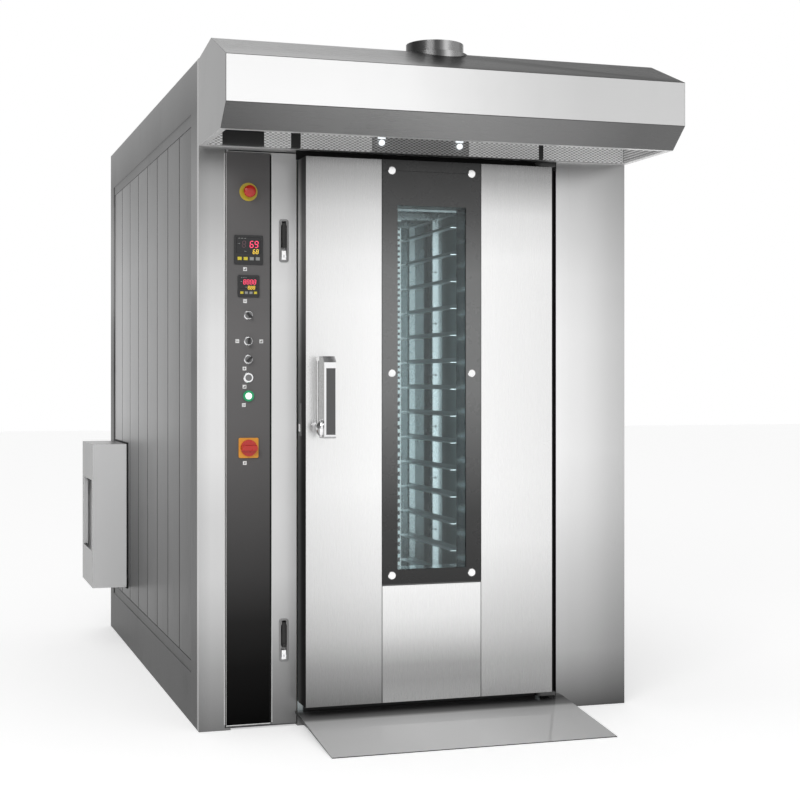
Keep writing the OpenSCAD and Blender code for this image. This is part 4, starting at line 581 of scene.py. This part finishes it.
# A face keeps the last finish whose rule it meets.
OTHER_FINISHES = [
    # The hood's faces take these lit and shaded copies by their normals.
    ("hood_shell", "hood_top", lambda c, n: n.z > 0.5),
    ("hood_shell", "hood_under", lambda c, n: n.z < -0.15),
    ("hood_shell", "hood_end", lambda c, n: abs(n.x) > 0.9),
    ("hood_shell", "hood_rim", lambda c, n: n.z < -0.9 and c.z < 1.906),
    # The hood's inner right end takes the filter finish, whose glow is painted light.
    ("hood_shell", "filter", lambda c, n: c.x > 0.7 and n.x < -0.9),
    # Dark steel on the narrow fold faces and on the end edges paints dark lines of shade there.
    ("hood_shell", "dark_steel", in_fold),
    ("hood_shell", "dark_steel", lambda c, n: abs(c.x) > 0.757 and -0.95 < n.y < -0.2),
    ("switch_plates", "orange", lambda c, n: c.z < 1.2),
    ("loading_ramp", "dark_steel", lambda c, n: n.z < 0.5),
    ("door_shell", "column", lambda c, n: n.z < -0.5 and c.z < 0.2),
    # The door's left side faces take the edge finish, painted shade.
    ("door_shell", "edge", lambda c, n: n.x < -0.9 and c.x < -0.4),
    ("door_shell", "reveal", lambda c, n: abs(c.x) < 0.2 and 0.4 < c.z < 1.8 and abs(n.y) < 0.5),
    ("door_shell", "shell", lambda c, n: abs(c.x) < 0.2 and 1.6 < c.z < 1.8 and n.z < -0.5),
    # The right column takes its own copy of the post's sheet, with its own painted reflection.
    ("front_frame", "column_right", lambda c, n: c.x > 0.25),
    # The door's face panels take the right and foot copies, each with its own painted reflection.
    ("door_face_panels", "door_right", lambda c, n: c.x > 0.14),
    ("door_face_panels", "door_foot", lambda c, n: abs(c.x) < 0.14),
    # The door panels' left edges take the same painted shade.
    ("door_face_panels", "edge", lambda c, n: c.x < -0.42 and n.x < -0.9),
    # The handle's left faces take the dark copy as painted shade.
    ("door_handle", "grip_side", lambda c, n: n.x < -0.6),
    # The burner cover's left and top faces take the dark copy as painted shade.
    ("burner_cover", "cover_side", lambda c, n: n.x < -0.5 or n.z > 0.5),
]
for node, finish, wanted in OTHER_FINISHES:
    refinished(node, finish, wanted)
for node in ("selector_upper", "selector_middle", "selector_lower"):
    refinished(node, "dial", lambda c, n: n.y < -0.9 and c.y > dep(-0.015))


# ---- filters in the hood -------------------------------------------------

def filter_bank():
    """Upright filters at the back of the hood's opening, with a blank, a dim filter, bars and knobs that
    glow.
    """
    back, face, foot, head = dep(-0.030), dep(-0.040), 1.9062, 1.9560

    def panels(spans, rim, sink, out=0.0):
        plates = [block((a, face - out, foot), (b, back, head)) for a, b in spans]
        return join([sunk(plate, FRONT, rim, sink) for plate in plates])

    bank = panels([(-0.736, -0.690), (-0.552, -0.462), (-0.430, -0.185), (0.160, 0.416), (0.432, 0.736)],
                  0.0016, 0.0012)
    done(soften(bank, 0.0005), "hood_filters", "filter", "root")
    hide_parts("hood_soffit")
    blank = panels([(-0.690, -0.552)], 0.004, -0.0006)
    done(soften(blank, 0.0006), "hood_blank", "dark_steel", "root")
    dim = panels([(-0.185, 0.160)], 0.0016, 0.0012)
    done(soften(dim, 0.0006), "hood_dim_filter", "filter_dim", "root")
    bars = panels([(-0.462, -0.430), (0.416, 0.432)], 0.003, 0.001, 0.002)
    done(soften(bars, 0.0008), "hood_bars", "dark_steel", "root")
    lamps = []
    for x in (-0.152, 0.124):
        glass_front = drum((x, face - 0.004, 1.9365), 0.0095, 0.010)
        lamps.append(soften(sunk(glass_front, FRONT, 0.002, 0.001), 0.0008))
        tab = block((x - 0.013, face - 0.005, 1.9505), (x + 0.013, face, 1.9555))
        lamps.append(soften(sunk(tab, FRONT, 0.0008, -0.0003), 0.0006))
    # The knobs and their tabs take the lamp finish: painted light, for they sit in the hood's shade.
    done(join(lamps), "hood_knobs", "lamp", "root")


filter_bank()


# ---- control panel -------------------------------------------------------

FACE = dep(0.0)  # front of the fascia along Y
PANEL_X = -0.596  # middle of the controllers and of the lit button
PRINT = 0.0003  # how far printed marks stand out


def segment_digit(x, z, height, digit, front):
    """One seven-bar digit out of small bevelled bars."""
    width, bar = height * 0.5, height * 0.12
    on = {"6": "afgedc", "8": "abcdefg", "9": "abcdfg"}[digit]
    half = height / 2
    bars = {"a": (0, half, 1), "g": (0, 0, 1), "d": (0, -half, 1), "f": (-width / 2, half / 2, 0),
            "b": (width / 2, half / 2, 0), "e": (-width / 2, -half / 2, 0), "c": (width / 2, -half / 2, 0)}
    made = []
    for name in on:
        dx, dz, flat = bars[name]
        w, h = (width * 0.78, bar) if flat else (bar, half * 0.78)
        slant = dz * 0.1
        cx, cz = x + dx + slant, z + dz
        lit_bar = block((cx - w / 2, front - 0.0003, cz - h / 2), (cx + w / 2, front + 0.0002, cz + h / 2))
        made.append(soften(lit_bar, 0.00012, 1))
    return made


def device(z, side, rows, amber_keys, grey_keys, tag):
    """Screen, rows of digits, dashes and four keys of a panel controller.

    rows list finish, text, height of the middle, height of a digit and shift, in shares of the side."""
    front = FACE - 0.004
    screen = block((PANEL_X - side * 0.42, front - 0.0001, z - 0.12 * side),
                   (PANEL_X + side * 0.42, front + 0.0012, z + side * 0.42))
    screen = sunk(screen, FRONT, 0.0012, 0.0002)
    done(soften(screen, 0.0003, 1), f"screen_{tag}", "screen", "control_panel")
    for finish, text, rise, tall, shift in rows:
        bars = []
        for i, digit in enumerate(text):
            x = PANEL_X + (i - (len(text) - 1) / 2) * side * tall * 0.78 + side * shift
            bars += segment_digit(x, z + side * rise, side * tall, digit, front - 0.0001)
        done(join(bars), f"digits_{finish}_{tag}", finish, "control_panel")
    for finish, places in (("key_amber", amber_keys), ("key", grey_keys)):
        keys = []
        for i in places:
            x = PANEL_X + i * 0.21 * side
            key = block((x - 0.07 * side, front - 0.0014, z - 0.355 * side),
                        (x + 0.07 * side, front - 0.0008, z - 0.245 * side))
            keys.append(soften(sunk(key, FRONT, 0.0012, -0.0002), 0.0006))
        done(join(keys), f"keys_{finish}_{tag}", finish, "control_panel")
    dashes = [soften(block((PANEL_X - side * a, front - 0.0004, z + side * b - 0.0007),
                           (PANEL_X - side * (a - 0.07), front, z + side * b + 0.0007)), 0.0001, 1)
              for a, b in ((0.37, 0.21), (0.15, -0.05), (0.36, 0.39), (0.26, 0.39), (0.16, 0.39))]
    done(join(dashes), f"dashes_{tag}", "key", "control_panel")


device(1.571, 0.096, (("red_digit", "69", 0.19, 0.21, 0.19), ("amber_digit", "68", -0.06, 0.14, 0.245),
                      ("dim_digit", "8", 0.19, 0.21, -0.16)), (-1.5, -0.5), (0.5, 1.5), "large")
device(1.452, 0.072, (("red_digit", "8888", 0.19, 0.20, 0.05), ("amber_digit", "888", -0.07, 0.15, 0.13)),
       (-1.5, 1.5), (-0.5, 0.5), "small")


def icon(x, z, kind):
    """Small printed square, and the plain dark pictogram on it."""
    side, front = 0.0125, FACE - PRINT
    square = soften(block((x - side / 2, front, z - side / 2), (x + side / 2, FACE, z + side / 2)), 0.0001, 1)
    marks = []
    for dx, dz, w, h in {"bar": [(0, 0, 0.008, 0.0016)],
                         "cross": [(0, 0, 0.007, 0.0014), (0, 0, 0.0014, 0.007)],
                         "steps": [(-0.0025, -0.002, 0.0018, 0.003), (0, -0.001, 0.0018, 0.005),
                                   (0.0025, 0, 0.0018, 0.007)]}[kind]:
        marks.append(soften(block((x + dx - w / 2, front - 0.0002, z + dz - h / 2),
                                  (x + dx + w / 2, front + 0.0001, z + dz + h / 2)), 0.00008, 1))
    return square, marks


def panel_print():
    """The fascia's small squares, painted highlights at its sides and on the post's edge, the light line at
    its foot, and the gap beside it.
    """
    icons = [icon(x, z, kind) for x, z, kind in (
        (-0.633, 1.2716, "bar"), (-0.553, 1.2716, "steps"), (-0.607, 1.508, "steps"),
        (-0.607, 1.403, "bar"), (-0.609, 1.182, "cross"), (-0.609, 1.1225, "steps"),
        (-0.611, 1.0625, "bar"), (-0.608, 0.8725, "cross"))]
    done(join([square for square, marks in icons]), "panel_icons", "print", "control_panel")
    done(join([mark for square, marks in icons for mark in marks]), "icon_marks", "device", "control_panel")
    low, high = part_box("control_fascia")

    def upright(a, b):
        return block((a, FACE - PRINT, low.z + 0.006), (b, FACE, high.z - 0.006))

    # White lines at the fascia's sides paint the highlights on the edges beside it.
    lines = [upright(low.x + 0.0001, low.x + 0.0016), upright(high.x + 0.0025, high.x + 0.0048)]
    done(soften(join(lines), 0.0001, 1), "fascia_edge_highlights", "print", "control_panel")
    gap = upright(high.x - 0.0035, high.x + 0.0024)
    done(soften(gap, 0.0001, 1), "fascia_gap", "seal_black", "control_panel")
    # A white line on the post's edge paints its highlight.
    bright = upright(low.x - 0.0058, low.x - 0.0036)
    done(soften(bright, 0.0001, 1), "post_edge_highlight", "print", "root")
    foot = block((low.x + 0.001, FACE - PRINT, low.z + 0.001), (high.x - 0.001, FACE, low.z + 0.004))
    done(soften(foot, 0.0001, 1), "fascia_foot", "print", "control_panel")


panel_print()


def button_collar():
    """Green collar of the lit button: a short tube with a rim in front."""
    ring = drum((PANEL_X, FACE - 0.0027, 1.092), 0.0175, 0.0050)
    facing(ring, FRONT)
    bpy.ops.mesh.inset(thickness=0.0062, depth=0)
    bpy.ops.mesh.delete(type="FACE")
    bpy.ops.object.mode_set(mode="OBJECT")
    facing(ring, (0, 1, 0))
    bpy.ops.mesh.delete(type="FACE")
    bpy.ops.object.mode_set(mode="OBJECT")
    only(ring)
    wall = ring.modifiers.new("wall", "SOLIDIFY")
    wall.thickness, wall.offset = 0.0006, 1.0
    bpy.ops.object.modifier_apply(modifier=wall.name)
    done(ring, "green_collar", "green", "control_panel")


button_collar()


def plank_joints():
    """Dark sealant in the joints between the wall planks."""
    planks, first, last, wall = 8, 0.155, 2.182, 0.7552
    foot, head = 0.208, 1.990
    strips = []
    for i in range(planks + 1):
        y = dep(first + i * ((last - first) / planks))
        for outward in (-1, 1):
            low, high = sorted((outward * wall, outward * (wall - 0.0030)))
            strips.append((outward, block((low, y - 0.0011, foot), (high, y + 0.0011, head))))
    strips = [soften(sunk(strip, (outward, 0, 0), 0.0006, 0.0004), 0.0004, 1) for outward, strip in strips]
    done(join(strips), "plank_joints", "seal_black", "root")


plank_joints()


def door_latch():
    """Latch plate on the free edge of the door, with its sprung bolt."""
    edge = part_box("door_shell")[0].x
    leftward = (-1, 0, 0)
    plate = block((edge - 0.0012, dep(-0.056), 0.960), (edge, dep(-0.014), 1.068))
    plate = sunk(plate, leftward, 0.003, 0.0003)
    done(soften(plate, 0.0004), "latch_plate", "dark_steel", "oven_door")
    bolt = block((edge - 0.0030, dep(-0.044), 0.975), (edge - 0.0008, dep(-0.026), 1.000))
    bolt = sunk(bolt, leftward, 0.004, -0.0004)
    done(soften(bolt, 0.0006), "latch_bolt", "cap", "oven_door")


door_latch()


def key_plates():
    """Bright plate and key slot at the foot of each panel latch."""
    plates, slots = [], []
    for z in (0.235, 1.553):
        plate = block((-0.4850, FACE - 0.0036, z - 0.012), (-0.4700, FACE - 0.0029, z + 0.018))
        plates.append(soften(sunk(plate, FRONT, 0.0015, -0.0002), 0.0004))
        slot = drum((-0.4775, FACE - 0.0043, z), 0.0045, 0.0008, 32)
        slots.append(soften(sunk(slot, FRONT, 0.0008, 0.0003), 0.0001, 1))
    done(join(plates), "key_plates", "cap", "control_panel")
    done(join(slots), "key_slots", "lever", "control_panel")


key_plates()


def head_seal():
    """Black rubber band on the header over the oven door."""
    strip = block((-0.436, dep(-0.0025), 1.8735), (0.497, dep(0.0), 1.9045))
    strip = sunk(strip, FRONT, 0.004, 0.0008)
    done(soften(strip, 0.0006), "head_seal", "seal_black", "root")


head_seal()


def cover_seal():
    """Black rubber seal where the burner cover meets the wall."""
    low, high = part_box("burner_cover")
    wide, lap = 0.0065, 0.0004
    parts = []
    for (y0, z0), (y1, z1) in (
            ((low.y, low.z), (low.y + wide, high.z)), ((high.y - wide, low.z), (high.y, high.z)),
            ((low.y, low.z), (high.y, low.z + wide)), ((low.y, high.z - wide), (high.y, high.z))):
        strip = block((high.x - 0.0052, y0 - lap, z0 - lap), (high.x - 0.0001, y1 + lap, z1 + lap))
        parts.append(soften(strip, 0.0012))
    done(join(parts), "cover_seal", "seal_black", "root")


cover_seal()


def duct_slots():
    """Slotted strip down the front of the air duct, beside the rack."""
    face, foot, head = dep(1.450), 0.300, 1.860
    strip = block((0.345, face - 0.0025, foot), (0.388, face - 0.0002, head))
    strip = sunk(strip, FRONT, 0.0015, 0.0004)
    # Its white, glowing finish paints a highlight and light.
    done(soften(strip, 0.0006), "duct_strip", "slot_strip", "root")
    slots = []
    near, far, end = face - 0.0030, face - 0.0024, 0.020
    z = foot + end
    while z < head - end:
        tall, gap = (0.010, 0.014) if z > 1.10 else (0.018, 0.016)
        slot = block((0.373, near, z), (0.383, far, z + tall))
        slots.append(sunk(slot, FRONT, 0.0012, 0.0003))
        notch = block((0.366, near, z + tall * 0.35), (0.373, far, z + tall * 0.65))
        slots.append(sunk(notch, FRONT, 0.0008, 0.0003))
        z += tall + gap
    done(join(slots), "duct_slots", "lever", "root")


duct_slots()


def rack_bolts():
    """Bolt heads on the rack's middle posts, a pair at every second level."""
    low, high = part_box("rack_frame")
    middle = (low.y + high.y) / 2
    first_level, pitch, levels = 0.182, 0.103, 16
    bolts = []
    for x in (low.x + 0.020, high.x - 0.020):
        for level in range(1, levels, 2):
            for side in (-0.007, 0.007):
                z = first_level + pitch * (level + 0.55)
                for way in (-1, 1):
                    head = drum((x + side, middle + way * 0.0145, z), 0.0042, 0.0050, 12)
                    bolts.append(sunk(head, (0, way, 0), 0.0012, 0.0004))
    done(join(bolts), "rack_bolts", "dark_steel", "rack_rotor")


rack_bolts()


# ---- studio --------------------------------------------------------------

def studio():
    """Floor, world, two lights and the camera of the photograph."""
    bpy.ops.object.select_all(action="DESELECT")
    bpy.ops.mesh.primitive_plane_add(size=60, location=(0, 0, 0))
    floor = bpy.context.object
    floor.name = "studio_floor"
    f = Finish("studio_floor")
    rays = f.node("ShaderNodeLightPath")
    bright = f.maths("MAXIMUM", f.out(rays, "Is Camera Ray"), f.out(rays, "Is Glossy Ray"))
    bright = f.maths("MAXIMUM", bright, f.out(rays, "Is Transmission Ray"))
    plain = f.node("ShaderNodeBsdfDiffuse", Color=(0.80, 0.80, 0.80, 1.0))
    glow = f.node("ShaderNodeEmission", Color=(1, 1, 1, 1), Strength=bright * 0.50)
    both = f.node("ShaderNodeAddShader", n0=f.out(plain), n1=f.out(glow))
    f.node("ShaderNodeOutputMaterial", Surface=f.out(both))
    floor.data.materials.append(f.owner)

    world = bpy.data.worlds.new("studio")
    bpy.context.scene.world = world
    w = Finish("studio", world)
    way = w.out(w.node("ShaderNodeTexCoord"), "Generated")
    split = w.node("ShaderNodeSeparateXYZ", Vector=way)
    across, ahead, up = (w.out(split, n) for n in "XYZ")
    rise = w.out(w.node("ShaderNodeValToRGB", {"stops": [
        (0.0, (0.55,) * 3), (0.46, (0.85,) * 3), (0.50, (1.06,) * 3), (0.61, (1.06,) * 3),
        (0.70, (0.60,) * 3), (0.82, (0.50,) * 3), (1.0, (0.90,) * 3)]}, Fac=up * 0.5 + 0.5), "Color")
    flags = w.out(w.node("ShaderNodeValToRGB", {"stops": [
        (0.0, (0.35,) * 3), (0.17, (0.35,) * 3), (0.26, (1.0,) * 3), (0.74, (1.0,) * 3),
        (0.83, (0.35,) * 3), (1.0, (0.35,) * 3)]}, Fac=across * 0.5 + 0.5), "Color")
    rise = w.tinted(rise, flags)
    rays = w.node("ShaderNodeLightPath")
    backdrop = w.maths("MAXIMUM", w.out(rays, "Is Glossy Ray"), w.out(rays, "Is Transmission Ray"))
    backdrop = backdrop * (ahead > 0.55)
    shown = w.maths("MAXIMUM", w.out(rays, "Is Camera Ray"), backdrop)
    colour = w.blend(shown, rise, (1.0, 1.0, 1.0))
    back = w.node("ShaderNodeBackground", Color=colour, Strength=1.0)
    w.node("ShaderNodeOutputWorld", Surface=w.out(back))

    def softbox(name, place, target, size, power, tone=(1, 1, 1)):
        light = bpy.data.lights.new(name, "AREA")
        light.shape, light.size, light.size_y = "RECTANGLE", size[0], size[1]
        light.energy, light.color = power, tone
        lamp = bpy.data.objects.new(name, light)
        bpy.context.scene.collection.objects.link(lamp)
        lamp.location = place
        lamp.rotation_euler = (Vector(target) - Vector(place)).to_track_quat("-Z", "Y").to_euler()
        return lamp

    softbox("key", (-3.5, -6.0, 4.6), (0, -1.0, 1.0), (3.0, 2.0), 120)
    softbox("chamber_light", (0.30, dep(0.36), 1.05), (0.0, dep(1.4), 0.95), (0.5, 1.5), 7, (0.96, 0.99, 1.0))

    eye = bpy.data.cameras.new("photo_camera")
    eye.lens, eye.sensor_width = 69.6, 36.0
    eye.shift_y = -0.0234
    eye.clip_end = 200
    camera = bpy.data.objects.new("photo_camera", eye)
    bpy.context.scene.collection.objects.link(camera)
    camera.location = (-1.6553, -6.1348, 1.1403)
    camera.rotation_euler = Euler((math.radians(90), 0, math.radians(-17.596)))
    bpy.context.scene.camera = camera
    bpy.context.scene.view_settings.view_transform = "Standard"


studio()
